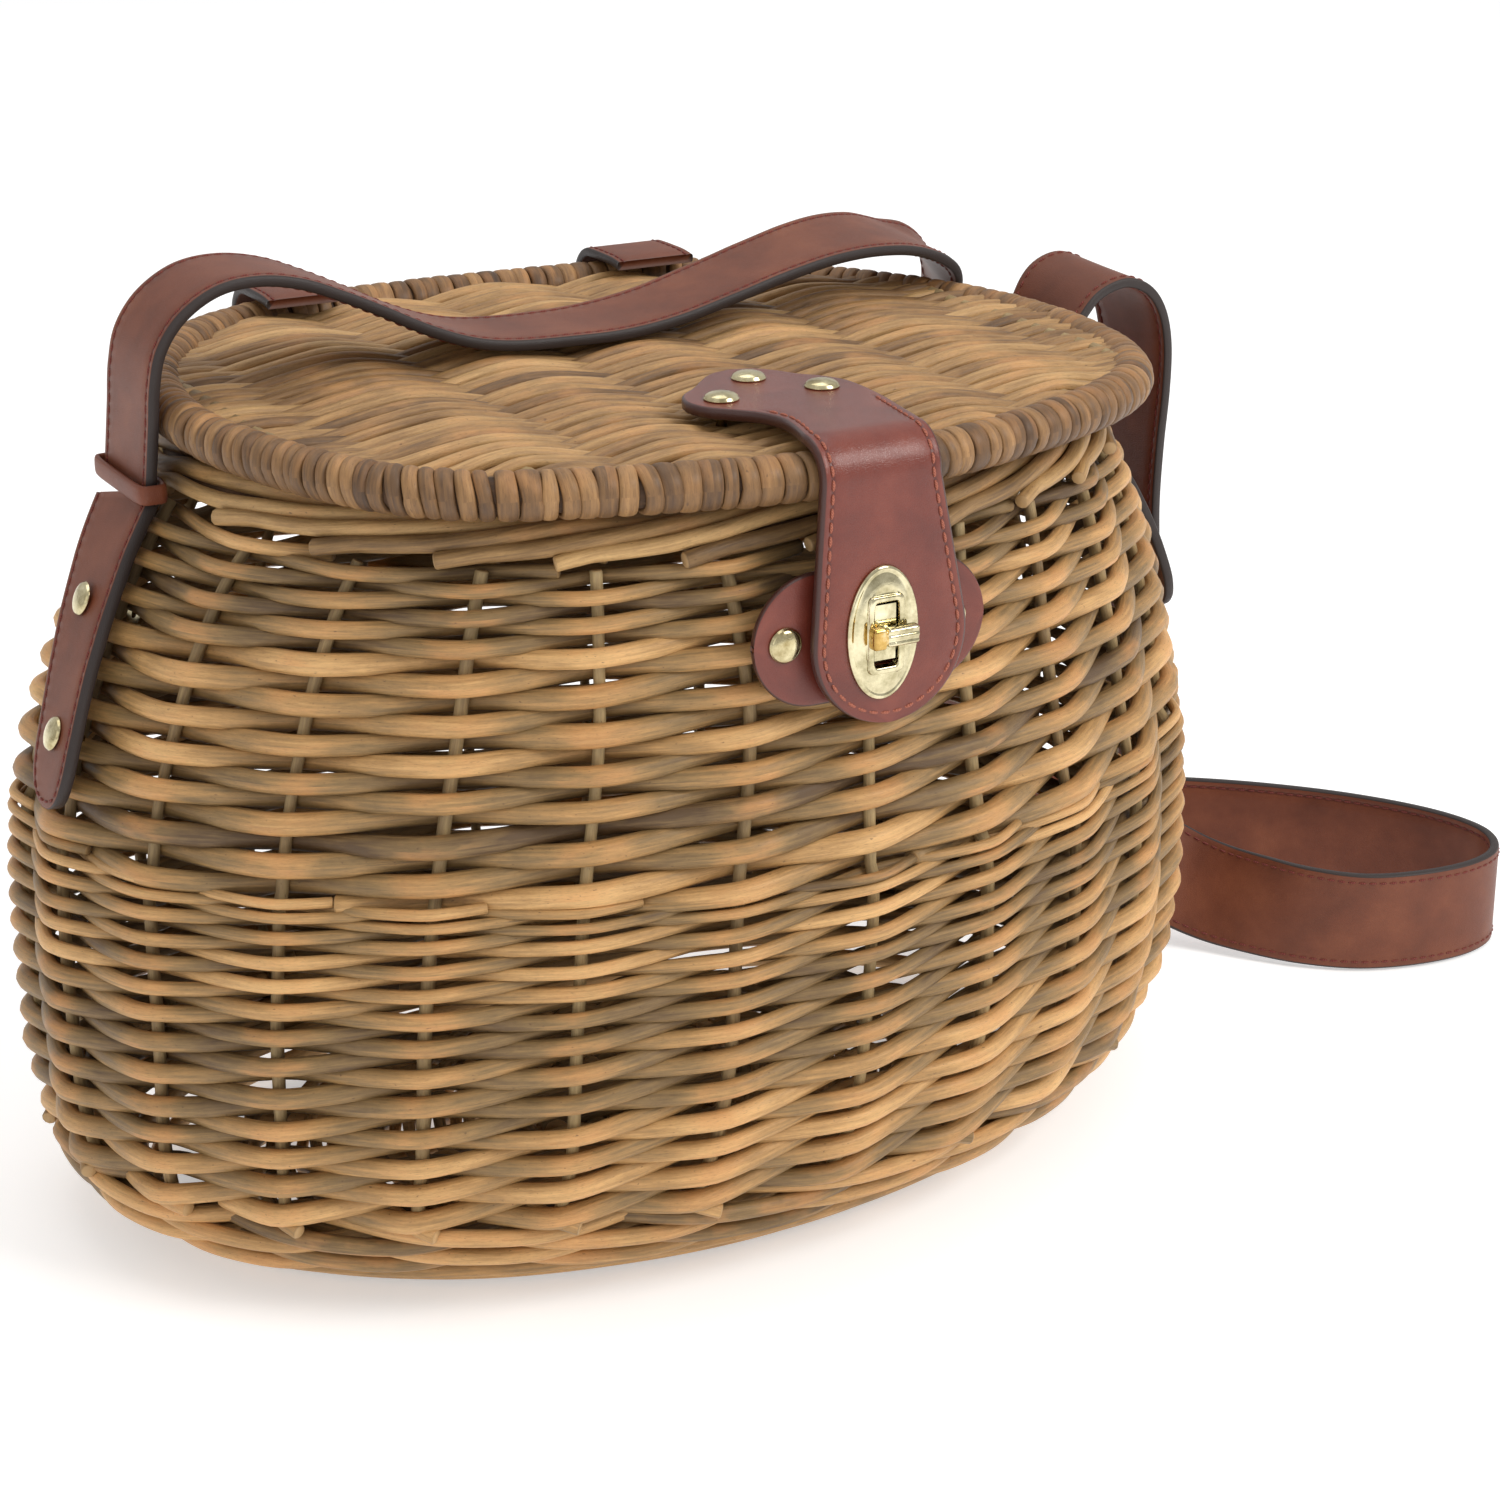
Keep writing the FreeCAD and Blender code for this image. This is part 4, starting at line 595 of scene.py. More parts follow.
upper = Mesh()
for r in range(0, -12, -1):
    u0, u1 = -2 * r - 0.62, 2 * (18.35 - r)
    n = int((u1 - u0) * 13)
    uu = np.linspace(u0, u1, n)
    h = r + 0.5 * uu
    c = crest(uu + r)
    z = z_of(Z_UP, h) + smooth_noise(n, 14, 0.35)
    rad = np.clip(0.575 * pitch_of(Z_UP, h), 1.7, 3.1)
    rad = rad * (1 + smooth_noise(n, 9, 0.035)) * rng.uniform(0.95, 1.05)
    rad = rad * np.interp(h, [-0.4, 0.6], [0.82, 1.0])
    depth = (rad + AMP) - AMP * c + smooth_noise(n, 16, 0.25)
    depth = depth + np.interp(h, [-0.35, 0.0, 18.0, 18.35], [1.5, 0, 0, 2.0])
    p, nn = on_wall(uu - 1.0, z, depth)
    # over: painted highlight on the crowns, painted shade behind the stakes
    tube(upper, p, nn, rad, sides=10, tone=rod_tone() + smooth_noise(n, 40, 0.09), over=shown(c), v0=rng.uniform(0, 3))
obj_upper = upper.make("side_weave_upper", [mat_body])
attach(obj_upper, "basket")

# three-rod wale that turns the side up from the base
wale = Mesh()
WP = 3.1
for r in range(3):
    n = 24 * 14 * 2 + 120
    u0 = r * 1.0 - 12.0
    uu = np.linspace(u0, u0 + 24 * 2.3, n)
    H = r + 3.0 * (uu - u0) / 24.0
    ph = 2 * PI * (uu - r) / 3.0
    cc = 1.0 - 2.0 * (0.5 + 0.5 * np.cos(ph)) ** 1.5
    z = 9.0 + WP * H * 0.86 + WP * 0.30 * 1.155 * np.sin(ph) + smooth_noise(n, 14, 0.2)
    rad = 2.35 * (1 + smooth_noise(n, 9, 0.03))
    keep_n = z < 29.3
    depth = rad + 3.9 - 3.9 * cc
    p, nn = on_wall(uu, z, depth)
    m_ = keep_n
    # over: painted highlight on the crowns, painted shade behind the stakes
    tube(wale, p[m_], nn[m_], rad[m_], sides=10, tone=rod_tone() + smooth_noise(int(m_.sum()), 40, 0.08), over=(0.5 + 0.5 * cc)[m_], v0=rng.uniform(0, 3))
# smooth foot rod and a second one tucked above it
for zz, rr, dd in ((2.6, 2.5, 2.5), (6.2, 2.3, 3.6), (4.6, 2.7, 8.0), (9.6, 2.6, 8.8), (13.8, 2.2, 10.2)):
    n = 300
    uu = np.linspace(0, 24, n, endpoint=False)
    p, nn = on_wall(uu, zz + smooth_noise(n, 30, 0.15) * 0, np.full(n, dd))
    tube(wale, p, nn, rr * (1 + 0.03 * np.sin(uu * 3)), sides=10, closed=True, tone=rod_tone(), over=0.5, v0=rng.uniform(0, 3))
# cut butts that poke out between the wale and the weave
for k in range(N):
    if rng.uniform() < 0.25:
        continue
    uu = k + np.array([-0.20, -0.10, 0.02, 0.14])
    zz = 29.5 + np.array([0.4, -0.4, -1.0, -1.2]) + rng.normal(0, 0.5)
    p, nn = on_wall(uu, zz, np.array([8.0, 5.5, 3.0, 0.9]))
    tube(wale, p, nn, 2.1 * rng.uniform(0.85, 1.05), sides=10, tone=rod_tone(), over=0.3, v0=rng.uniform(0, 3))
obj_wale = wale.make("foot_wale", [mat_body])
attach(obj_wale, "basket")
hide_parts("lower_weave")
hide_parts("upper_weave")

# upright stakes
stakes = Mesh()
for k in range(N):
    z = np.concatenate([np.linspace(4.0, 30, 12), np.linspace(32, 205.0, 60)])
    n = len(z)
    rad = np.interp(z, [0, 40, 120, 205], [1.9, 1.7, 1.62, 1.6]) * (1 + smooth_noise(n, 8, 0.04)) * rng.uniform(0.93, 1.08)
    mean_r = np.where(z < 120, 0.52 * np.interp(z, [30, 118], [5.0, 2.8]), 0.52 * np.interp(z, [122, 204], [5.4, 3.3]))
    mean_r = np.where(z < 30, 2.35, mean_r)
    uu = k + smooth_noise(n, 18, 0.018)
    p, nn = on_wall(uu, z, mean_r + AMP + 0.1)
    tube(stakes, p, nn, rad, sides=10, tone=rod_tone(), over=0.25, v0=rng.uniform(0, 3))
obj_stakes = stakes.make("upright_stakes", [mat_stake])
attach(obj_stakes, "basket")
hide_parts("side_stakes")

# rolled border: every stake goes inside, over the top and ends cut off outside
rim = Mesh()
RIM_Z, RIM_D, RIM_R = 210.5, 7.2, 4.55
for k in range(N):
    n = 64
    t = np.linspace(0, 1, n)
    uu = k + 0.1 - 4.42 * t ** 1.05
    th = np.radians(np.interp(t, [0, 0.12, 0.45, 0.8, 1.0], [232, 190, 92, 8, -24]))
    rr = np.interp(t, [0, 0.1, 0.93, 1.0], [5.0, RIM_R, RIM_R + 0.2, 6.9])
    dep = RIM_D - rr * np.cos(th)
    z = RIM_Z + rr * np.sin(th) + smooth_noise(n, 14, 0.25)
    s = stake_s(uu, z)
    a = ang_of(s)
    p = wall(a, np.clip(z, 0, 218), -dep)
    p[:, 2] = z
    ctr = wall(a, np.full(n, RIM_Z), -np.full(n, RIM_D))
    ctr[:, 2] = RIM_Z
    rad = np.interp(t, [0, 0.2, 1.0], [2.2, 2.45, 2.1]) * (1 + smooth_noise(n, 9, 0.04)) * rng.uniform(0.94, 1.05)
    # over: the top of each roll painted lighter (painted highlight), its underside darker (painted shade)
    tube(rim, p, unit(p - ctr), rad, sides=10, tone=rod_tone(), over=0.35 + 0.5 * np.clip(np.sin(th), 0, 1), v0=rng.uniform(0, 3))
# core rod in the painted-shade willow: it shows only in the gaps, as dark shade
n = 300
uu = np.linspace(0, 24, n, endpoint=False)
a = ang_of(stake_s(uu, RIM_Z))
p = wall(a, np.full(n, RIM_Z), -np.full(n, RIM_D))
tube(rim, p, (0, 0, 1), 2.6, sides=8, closed=True, mat=1, tone=0.4, over=0.2)
obj_rim = rim.make("rolled_rim", [mat_rim, mat_core_painted_shade])
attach(obj_rim, "basket")
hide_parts("rim_border")

# base: oval rings woven round spokes that fan out from crossed sticks
base = Mesh()
BCX, BCY, BA, BB = -5.5, -3.5, 121.0, 74.0
BZ = 6.4


def base_pt(sig, th, z):
    return np.stack([BCX + sig * BA * np.cos(th), BCY + sig * BB * np.sin(th), z], -1)


spoke_th = ang_of(stake_s(np.arange(N), 0.0))
rings = 19
for j in range(rings):
    n = 420
    th = np.linspace(0, 2 * PI, n, endpoint=False)
    uu = np.interp(np.mod(th + PI / 2, 2 * PI), np.r_[0, np.mod(np.sort(np.mod(spoke_th + PI / 2, 2 * PI)), 2 * PI), 2 * PI],
                   np.r_[-0.5, np.arange(N), N - 0.5])
    c = np.cos(PI * (uu + j))
    sig = 0.26 + 0.72 * (j + 0.5) / rings
    rr = 1.75
    z = BZ + 3.2 * c
    # over: rings painted lighter where they lie below the spokes (painted highlight), darker where they lie above them
    # (painted shade)
    tube(base, base_pt(sig + 0.004 * smooth_noise(n, 60, 0.4), th, z), (0, 0, 1), rr, sides=8, closed=True, tone=rod_tone(), over=0.5 - 0.3 * c, v0=rng.uniform(0, 3))
for k in range(N):
    sg = np.linspace(0.14, 1.0, 40)
    th = np.full(40, spoke_th[k]) + 0.02 * rng.normal()
    tube(base, base_pt(sg, th, np.full(40, BZ)), (0, 0, 1), 1.9, sides=8, tone=rod_tone(), over=0.4, v0=rng.uniform(0, 3))
for k, yy in enumerate((-12.0, -7.6, -3.2, 1.2, 5.6)):
    x = np.linspace(-36, 26, 24)
    tube(base, np.stack([x, np.full(24, yy), np.full(24, BZ + 1.9)], -1), (0, 0, 1), 2.1, sides=8, tone=rod_tone(), over=0.4)
for k, xx in enumerate((-30, -25.6, -21.2, -16.8, -12.4, -8, -3.6, 0.8, 5.2, 9.6, 14.0, 18.4)):
    y = np.linspace(-20, 13, 16)
    tube(base, np.stack([np.full(16, xx), y, np.full(16, BZ - 2.2)], -1), (0, 0, 1), 2.1, sides=8, tone=rod_tone(), over=0.4)
obj_base = base.make("base_woven", [mat_body])
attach(obj_base, "basket")
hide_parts("base_weave", "base_sticks")

# ------------------------------------------------------------------ lid
LID_LINE = np.array([
    (0, -127), (28, -124.5), (58, -115.5), (86, -103), (106, -86), (117, -62), (120.5, -35),
    (119, -10), (112, 15), (99, 40), (80, 65), (58, 82), (34, 88.5), (8, 91), (-20, 92), (-48, 91),
    (-72, 87), (-94, 75), (-112, 53), (-123, 25), (-128, -2), (-128, -25), (-124.5, -45),
    (-117, -69), (-106, -90), (-90, -105), (-70, -113.5), (-45, -121), (-22, -126)], float)


def closed_spline(pts, per=40):
    n = len(pts)
    out = []
    for i in range(n):
        p0, p1, p2, p3 = pts[i - 1], pts[i], pts[(i + 1) % n], pts[(i + 2) % n]
        for k in range(per):
            t = k / per
            out.append(0.5 * (2 * p1 + (p2 - p0) * t + (2 * p0 - 5 * p1 + 4 * p2 - p3) * t * t + (3 * p1 - p0 - 3 * p2 + p3) * t ** 3))
    return np.array(out)


hoop = closed_spline(LID_LINE)
_hs = np.r_[0, np.cumsum(np.linalg.norm(np.diff(np.vstack([hoop, hoop[:1]]), axis=0), axis=1))]
HOOP_LEN = _hs[-1]
HZ = 226.3
HR_OUT = 6.15


def hoop_at(s):
    s = np.mod(s, HOOP_LEN)
    hh = np.vstack([hoop, hoop[:1]])
    p = np.stack([np.interp(s, _hs, hh[:, k]) for k in (0, 1)], -1)
    e = 1.5
    q1 = np.stack([np.interp(np.mod(s + e, HOOP_LEN), _hs, hh[:, k]) for k in (0, 1)], -1)
    q0 = np.stack([np.interp(np.mod(s - e, HOOP_LEN), _hs, hh[:, k]) for k in (0, 1)], -1)
    t = unit(q1 - q0)
    return p, t, np.stack([t[..., 1], -t[..., 0]], -1)


lid = Mesh()
STX = np.array([-132.0, -78.0, -41.0, -1.0, 37.0, 73.0, 121.0])


def dish(x, y):
    """How far the panel sinks below the hoop at the back and the left end."""
    return 2.6 * np.clip((y - 35.0) / 40.0, 0, 1) + 1.5 * np.clip((-x - 80.0) / 35.0, 0, 1)


ys, y = [], -117.6
while y < 85.5:
    ys.append(y)
    y += 3.42
for i, y in enumerate(ys):
    j = np.where((hoop[:, 1] - y) * (np.roll(hoop[:, 1], -1) - y) <= 0)[0]
    xs = []
    for q in j:
        a, b = hoop[q], hoop[(q + 1) % len(hoop)]
        if abs(b[1] - a[1]) > 1e-9:
            xs.append(a[0] + (b[0] - a[0]) * (y - a[1]) / (b[1] - a[1]))
    xl, xr = min(xs), max(xs)
    inset = 2.0
    x = np.linspace(xl + inset, xr - inset, max(20, int((xr - xl) / 2.2)))
    n = len(x)
    sx = STX + np.interp(y, [-120, 85], [0.0, 0.0])
    u = np.interp(x, sx, np.arange(len(sx)))
    c = 0.5 * crest(u + i) + 0.5 * np.cos(PI * (u + i))
    fade = np.clip(np.minimum(x - xl - inset, xr - inset - x) / 16.0, 0, 1)
    fade = fade * fade * (3 - 2 * fade)
    z = 228.6 + 2.9 * c * fade + (1 - fade) * 0.6 + smooth_noise(n, 12, 0.2)
    z = z - dish(x, y)
    # pressed down a little under the clasp's head
    z = z - 1.3 * np.exp(-((x + 2.0) / 22.0) ** 4) * (1.0 if -126 < y < -62 else 0.0) * np.clip(c, 0, 1)
    yy = y + smooth_noise(n, 14, 0.35)
    rad = 1.92 * (1 + smooth_noise(n, 9, 0.05)) * rng.uniform(0.93, 1.07)
    # over: rods painted lighter on their crowns (painted highlight), darker between them (painted shade)
    tube(lid, np.stack([x, yy, z], -1), (0, 0, 1), rad, sides=10, tone=rod_tone() + smooth_noise(n, 30, 0.06), over=0.45 + 0.4 * c * fade, v0=rng.uniform(0, 3))
obj_lid = lid.make("lid_weave_rods", [mat_lid])
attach(obj_lid, "lid")
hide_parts("lid_weave")

sticks = Mesh()
for x0 in (-118.0, -78.0, -41.0, -1.0, 37.0, 73.0, 108.0):
    j = np.where((hoop[:, 0] - x0) * (np.roll(hoop[:, 0], -1) - x0) <= 0)[0]
    yv = [hoop[q, 1] for q in j]
    y = np.linspace(min(yv) + 1, max(yv) - 1, 50)
    x = x0 + smooth_noise(50, 12, 0.5)
    tube(sticks, np.stack([x, y, 228.6 - dish(x, y) + smooth_noise(50, 12, 0.15)], -1), (0, 0, 1), 2.35 * (1 + smooth_noise(50, 6, 0.03)), sides=10, tone=rod_tone(), over=0.3)
obj_sticks = sticks.make("lid_cross_sticks", [mat_stake])
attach(obj_sticks, "lid")
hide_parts("lid_sticks")

wraps = Mesh()
s = 0.0
while s < HOOP_LEN - 2.0:
    p, t, o = hoop_at(s)
    side = abs(t[1]) > 0.55
    left = p[0] < 0
    if side and left:
        w, th, gap, sq = rng.uniform(2.9, 4.3), 1.25, rng.uniform(0.0, 0.35), 2.2
    else:
        w, th, gap, sq = rng.uniform(3.6, 5.6), 1.1, rng.uniform(0.0, 0.25), 2.6
    if rng.uniform() < 0.04:
        gap += 1.0
    mid = s + w / 2
    s += w + gap
    tilt = rng.normal(0.0, 0.55) + (1.5 if side and left else 0.25)
    n = 30
    ph = np.linspace(0, 2 * PI, n, endpoint=False)
    rc = HR_OUT - th
    c0, t0, o0 = hoop_at(np.full(n, mid) + tilt * np.cos(ph + 0.5))
    pts = np.stack([c0[:, 0] + o0[:, 0] * rc * np.cos(ph), c0[:, 1] + o0[:, 1] * rc * np.cos(ph), HZ + rc * np.sin(ph)], -1)
    nn = np.stack([o0[:, 0] * np.cos(ph), o0[:, 1] * np.cos(ph), np.sin(ph)], -1)
    thick = th * (1 + smooth_noise(n, 8, 0.06))
    # over: the upper half of each wrap painted lighter (painted highlight), the lower half darker (painted shade)
    tube(wraps, pts, nn, thick, sides=12, wide=(w / 2 + 0.12) / th, closed=True, square=sq, tone=rod_tone(), over=0.5 + 0.25 * np.sin(ph), v0=rng.uniform(0, 3))
# core rod in the painted-shade willow: it shows only in the gaps between the wraps, as dark shade
n = 400
c0, t0, o0 = hoop_at(np.linspace(0, HOOP_LEN, n, endpoint=False))
tube(wraps, np.stack([c0[:, 0], c0[:, 1], np.full(n, HZ)], -1), (0, 0, 1), 4.5, sides=12, closed=True, mat=1, tone=0.3, over=0.1)
obj_wraps = wraps.make("lid_hoop_wraps", [mat_hoop_painted_shade, mat_core_painted_shade])
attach(obj_wraps, "lid")
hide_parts("lid_border")


# ------------------------------------------------------------------ leather strips
def section(hw_l, hw_r, th, er, seam_at=2.6, seam_deep=0.22):
    """Closed section of a leather strip: (across, up, edge, seam, back) going round from the top left."""
    full = hw_l + hw_r
    k = min(1.0, full / 12.0)
    er = min(er, th * 0.48, full * 0.2)
    e = [er * 0.999, seam_at - 0.75, seam_at - 0.35, seam_at, seam_at + 0.35, seam_at + 0.75]
    e = [max(v, er * 0.999) * k if v > er else v for v in e]
    lefts = [-hw_l + v for v in e]
    rights = [hw_r - v for v in e]
    mids = list(np.linspace(lefts[-1], rights[-1], 9)[1:-1])
    xs = lefts + mids + rights[::-1]
    seam = [0, 0, 0.7, 1, 0.7, 0] + [0] * 7 + [0, 0.7, 1, 0.7, 0, 0]
    sink = [0, 0, 0.6, 1, 0.6, 0] + [0] * 7 + [0, 0.6, 1, 0.6, 0, 0]
    out = []
    for x, sm, sk in zip(xs, seam, sink):
        out.append((x, th / 2 - sk * seam_deep * k, 0.0, sm * k, 0.0))
    for i in range(1, 6):
        a = PI / 2 - PI * i / 6
        cz = (th / 2 - er) * (1 if a > 0 else -1 if a < -1e-9 else 0)
        out.append((hw_r - er + er * math.cos(a), cz + er * math.sin(a), 1.0, 0.0, 0.0))
    for x in xs[::-1]:
        out.append((x, -th / 2, 0.0, 0.0, 1.0))
    for i in range(1, 6):
        a = -PI / 2 - PI * i / 6
        ca, sa = math.cos(a), math.sin(a)
        cz = (th / 2 - er) * (1 if sa > 1e-9 else -1 if sa < -1e-9 else 0)
        out.append((-hw_l + er + er * ca, cz + er * sa, 1.0, 0.0, 0.0))
    return np.array(out)


def strip(mesh, cen, across, up, hwl, hwr, th, er=0.9, mat=0, seam_at=2.6, seam_deep=0.22, v0=0.0, back=1.0, caps=(1, 1), seam_on=1.0):
    """Leather strip along cen; hwl and hwr are its half widths to the two sides at each row."""
    cen, across, up = np.asarray(cen, float), np.asarray(across, float), np.asarray(up, float)
    n = len(cen)
    hwl, hwr = np.broadcast_to(hwl, (n,)), np.broadcast_to(hwr, (n,))
    th = np.broadcast_to(th, (n,))
    seam_on = np.broadcast_to(seam_on, (n,))
    secs = [section(hwl[i], hwr[i], th[i], er, seam_at, seam_deep * seam_on[i]) for i in range(n)]
    m = len(secs[0])
    S = np.array(secs)
    verts = cen[:, None] + across[:, None] * S[:, :, 0:1] + up[:, None] * S[:, :, 1:2]
    i = np.arange(n - 1)[:, None]
    j = np.arange(m)[None, :]
    j2 = (j + 1) % m
    quads = np.stack([i * m + j, i * m + j2, (i + 1) * m + j2, (i + 1) * m + j], -1).reshape(-1, 4)
    seg = np.r_[0, np.cumsum(np.linalg.norm(np.diff(cen, axis=0), axis=1))] / 100.0 + v0
    w = np.linalg.norm(np.diff(np.vstack([S[n // 2, :, :2], S[n // 2, :1, :2]]), axis=0), axis=1)
    w = np.r_[0, np.cumsum(w)] / 100.0
    a0, a1 = np.broadcast_to(seg[i], (n - 1, m)), np.broadcast_to(seg[i + 1], (n - 1, m))
    b0, b1 = np.broadcast_to(w[j], (n - 1, m)), np.broadcast_to(w[j + 1], (n - 1, m))
    uvq = np.stack([np.stack([a0, b0], -1), np.stack([a0, b1], -1), np.stack([a1, b1], -1), np.stack([a1, b0], -1)], 2).reshape(-1, 4, 2)
    att = {"edge": S[:, :, 2].ravel(), "seam": (S[:, :, 3] * seam_on[:, None]).ravel(), "back": S[:, :, 4].ravel() * back}
    tris, uvt, extra = [], [], []
    flat = verts.reshape(-1, 3)
    # ends: the two long sides of the section are zipped together
    half = m // 2
    for end, on in ((0, caps[0]), (n - 1, caps[1])):
        if not on:
            continue
        o = end * m
        top = [o + q for q in range(17 + 2 + 1)]
        # pair top index q with bottom index
        seq = list(range(m))
        lo, hi = 0, m - 1
        # walk inward from the left edge
        a_, b_ = 0, m - 1
        while b_ - a_ > 1:
            if (b_ - a_) > 2:
                quad = (a_, a_ + 1, b_ - 1, b_)
                q4 = [o + z_ for z_ in quad]
                if end == 0:
                    tris += [(q4[0], q4[1], q4[2]), (q4[0], q4[2], q4[3])]
                else:
                    tris += [(q4[2], q4[1], q4[0]), (q4[3], q4[2], q4[0])]
                uvt += [[(0, 0), (0.01, 0), (0, 0.01)]] * 2
            else:
                q3 = [o + a_, o + a_ + 1, o + b_]
                tris += [tuple(q3) if end == 0 else tuple(q3[::-1])]
                uvt += [[(0, 0), (0.01, 0), (0, 0.01)]]
            a_ += 1
            b_ -= 1
    mesh.add(flat, quads=quads[:, ::-1], tris=[t_[::-1] for t_ in tris], uvq=uvq[:, ::-1], uvt=uvt, mat=mat, **att)


def stitches(mesh, pts, up, step=3.1, length=2.3, rad=0.36, lift=0.12, mat=1):
    """Single stitches along a line of points on a surface; up is the surface normal at each."""
    pts, up = np.asarray(pts, float), np.asarray(up, float)
    seg = np.r_[0, np.cumsum(np.linalg.norm(np.diff(pts, axis=0), axis=1))]
    total = seg[-1]
    k = max(1, int(total // step))
    mid = (np.arange(k) + 0.5) * total / k
    prof = np.array([-1.0, -0.82, -0.4, 0.0, 0.4, 0.82, 1.0])
    thick = np.array([0.25, 0.75, 1.0, 1.05, 1.0, 0.75, 0.25])
    for c in mid:
        q = c + prof * length / 2
        p = np.stack([np.interp(q, seg, pts[:, a]) for a in range(3)], -1)
        nn = unit(np.stack([np.interp(q, seg, up[:, a]) for a in range(3)], -1))
        p = p + nn * (lift - 0.35 * np.abs(prof)[:, None] ** 2 * rad)
        tube(mesh, p, nn, rad * thick, sides=6, mat=mat, tone=0.5, over=0.5)


# shoulder strap
STRAP = [
    ((-139.0, 7.0, 206.2), (0, 1, 0)),
    ((-138.2, 6.9, 214.0), (0, 1, 0)),
    ((-137.2, 6.2, 226.0), (0, 1, 0)),
    ((-136.4, 5.4, 237.0), (0, 1, 0)),
    ((-134.0, 5.4, 246.0), (0, 1, 0)),
    ((-128.0, 5.4, 253.8), (0, 1, 0)),
    ((-118.5, 5.4, 259.3), (0, 1, 0)),
    ((-107.5, 5.4, 260.6), (0, 1, 0)),
    ((-96.0, 5.4, 258.6), (0, 1, 0)),
    ((-84.5, 5.4, 254.0), (0, 1, 0)),
    ((-74.0, 5.4, 249.0), (0, 1, 0)),
    ((-62.0, 5.2, 243.0), (0, 1, 0)),
    ((-50.0, 5.0, 238.4), (0, 1, 0)),
    ((-38.0, 4.6, 236.2), (0, 1, 0)),
    ((-22.0, 4.2, 235.6), (0, 1, 0)),
    ((-5.0, 4.2, 235.9), (0.02, 1, 0.02)),
    ((12.0, 4.8, 238.0), (0.08, 1, 0.04)),
    ((30.0, 6.2, 242.0), (0.15, 1, 0.07)),
    ((48.0, 8.4, 246.0), (0.22, 0.97, 0.09)),
    ((65.0, 11.4, 248.6), (0.27, 0.96, 0.1)),
    ((80.0, 15.4, 248.8), (0.32, 0.94, 0.07)),
    ((94.0, 21.0, 246.6), (0.4, 0.91, -0.02)),
    ((106.9, 27.7, 242.0), (0.43, 0.88, -0.14)),
    ((117.8, 34.2, 235.4), (0.45, 0.87, -0.18)),
    ((125.6, 39.2, 226.0), (0.37, 0.92, -0.09)),
    ((130.8, 43.0, 213.0), (0.14, 0.99, 0)),
    ((135.6, 47.6, 200.0), (-0.02, 1, 0)),
    ((143.5, 53.0, 180.0), (-0.2, 0.98, 0)),
    ((150.0, 58.5, 158.0), (-0.45, 0.89, 0)),
    ((154.5, 64.0, 135.0), (-0.6, 0.8, 0)),
    ((157.5, 69.5, 110.0), (-0.62, 0.76, 0.1)),
    ((161.5, 75.0, 87.0), (-0.55, 0.72, 0.35)),
    ((168.5, 80.5, 64.0), (-0.4, 0.5, 0.65)),
    ((180.5, 85.5, 43.0), (-0.25, 0.2, 0.85)),
    ((197.0, 89.5, 27.5), (-0.12, 0.05, 0.95)),
    ((215.5, 90.0, 19.3), (-0.04, 0, 1)),
    ((234.0, 84.5, 17.0), (0, 0, 1)),
    ((251.0, 75.0, 16.5), (0, 0, 1)),
    ((270.0, 59.0, 16.5), (0, 0, 1)),
    ((288.5, 39.0, 16.5), (0, 0, 1)),
    ((302.5, 18.0, 16.5), (0, 0, 1)),
    ((309.5, 0.0, 16.5), (0, 0, 1)),
    ((309.5, -15.0, 16.5), (0, 0, 1)),
    ((301.0, -27.0, 16.5), (0, 0, 1)),
    ((286.0, -32.0, 16.5), (0, 0, 1)),
    ((267.0, -30.5, 16.5), (0, 0, 1)),
    ((250.0, -24.0, 16.5), (0.02, 0.0, 1)),
    ((237.0, -12.0, 16.8), (0.1, 0.05, 1)),
    ((228.0, 2.5, 17.2), (0.25, 0.1, 0.95)),
    ((221.0, 16.0, 18.0), (0.42, 0.12, 0.88)),
    ((213.0, 26.5, 22.0), (0.55, 0.2, 0.78)),
    ((203.5, 32.0, 30.5), (0.55, 0.42, 0.68)),
    ((194.5, 32.5, 43.5), (0.45, 0.7, 0.45)),
    ((187.5, 29.5, 60.0), (0.25, 0.92, 0.2)),
    ((183.0, 25.0, 80.0), (0.08, 1, 0.05)),
    ((181.0, 20.5, 101.0), (0, 1, 0)),
    ((180.0, 16.5, 122.0), (0, 1, 0)),
    ((178.0, 13.0, 143.0), (0, 1, 0)),
    ((175.5, 10.5, 162.0), (0, 1, 0)),
    ((175.0, 9.0, 180.0), (0, 1, 0)),
    ((175.5, 8.5, 197.0), (-0.03, 1, 0)),
    ((175.0, 8.5, 211.0), (-0.06, 1, 0.02)),
    ((172.0, 8.5, 221.5), (-0.1, 0.99, 0.05)),
    ((166.5, 8.6, 228.8), (-0.13, 0.99, 0.09)),
    ((158.8, 8.7, 232.0), (-0.13, 0.99, 0.09)),
    ((150.5, 8.6, 230.0), (-0.12, 0.99, 0.07)),
    ((144.3, 7.8, 224.0), (-0.08, 1, 0.03)),
    ((140.4, 7.1, 215.5), (-0.015, 1, 0)),
    ((139.5, 7.0, 206.2), (0, 1, 0)),
]
SC = np.array([q[0] for q in STRAP], float)
SA = np.array([q[1] for q in STRAP], float)


def spline_at(pts, t):
    n = len(pts)
    t = np.atleast_1d(np.asarray(t, float))
    i = np.clip(t.astype(int), 0, n - 2)
    u = (t - i)[:, None]
    ext = np.vstack([2 * pts[0] - pts[1], pts, 2 * pts[-1] - pts[-2]])
    p0, p1, p2, p3 = ext[i], ext[i + 1], ext[i + 2], ext[i + 3]
    return 0.5 * (2 * p1 + (p2 - p0) * u + (2 * p0 - 5 * p1 + 4 * p2 - p3) * u * u + (3 * p1 - p0 - 3 * p2 + p3) * u ** 3)


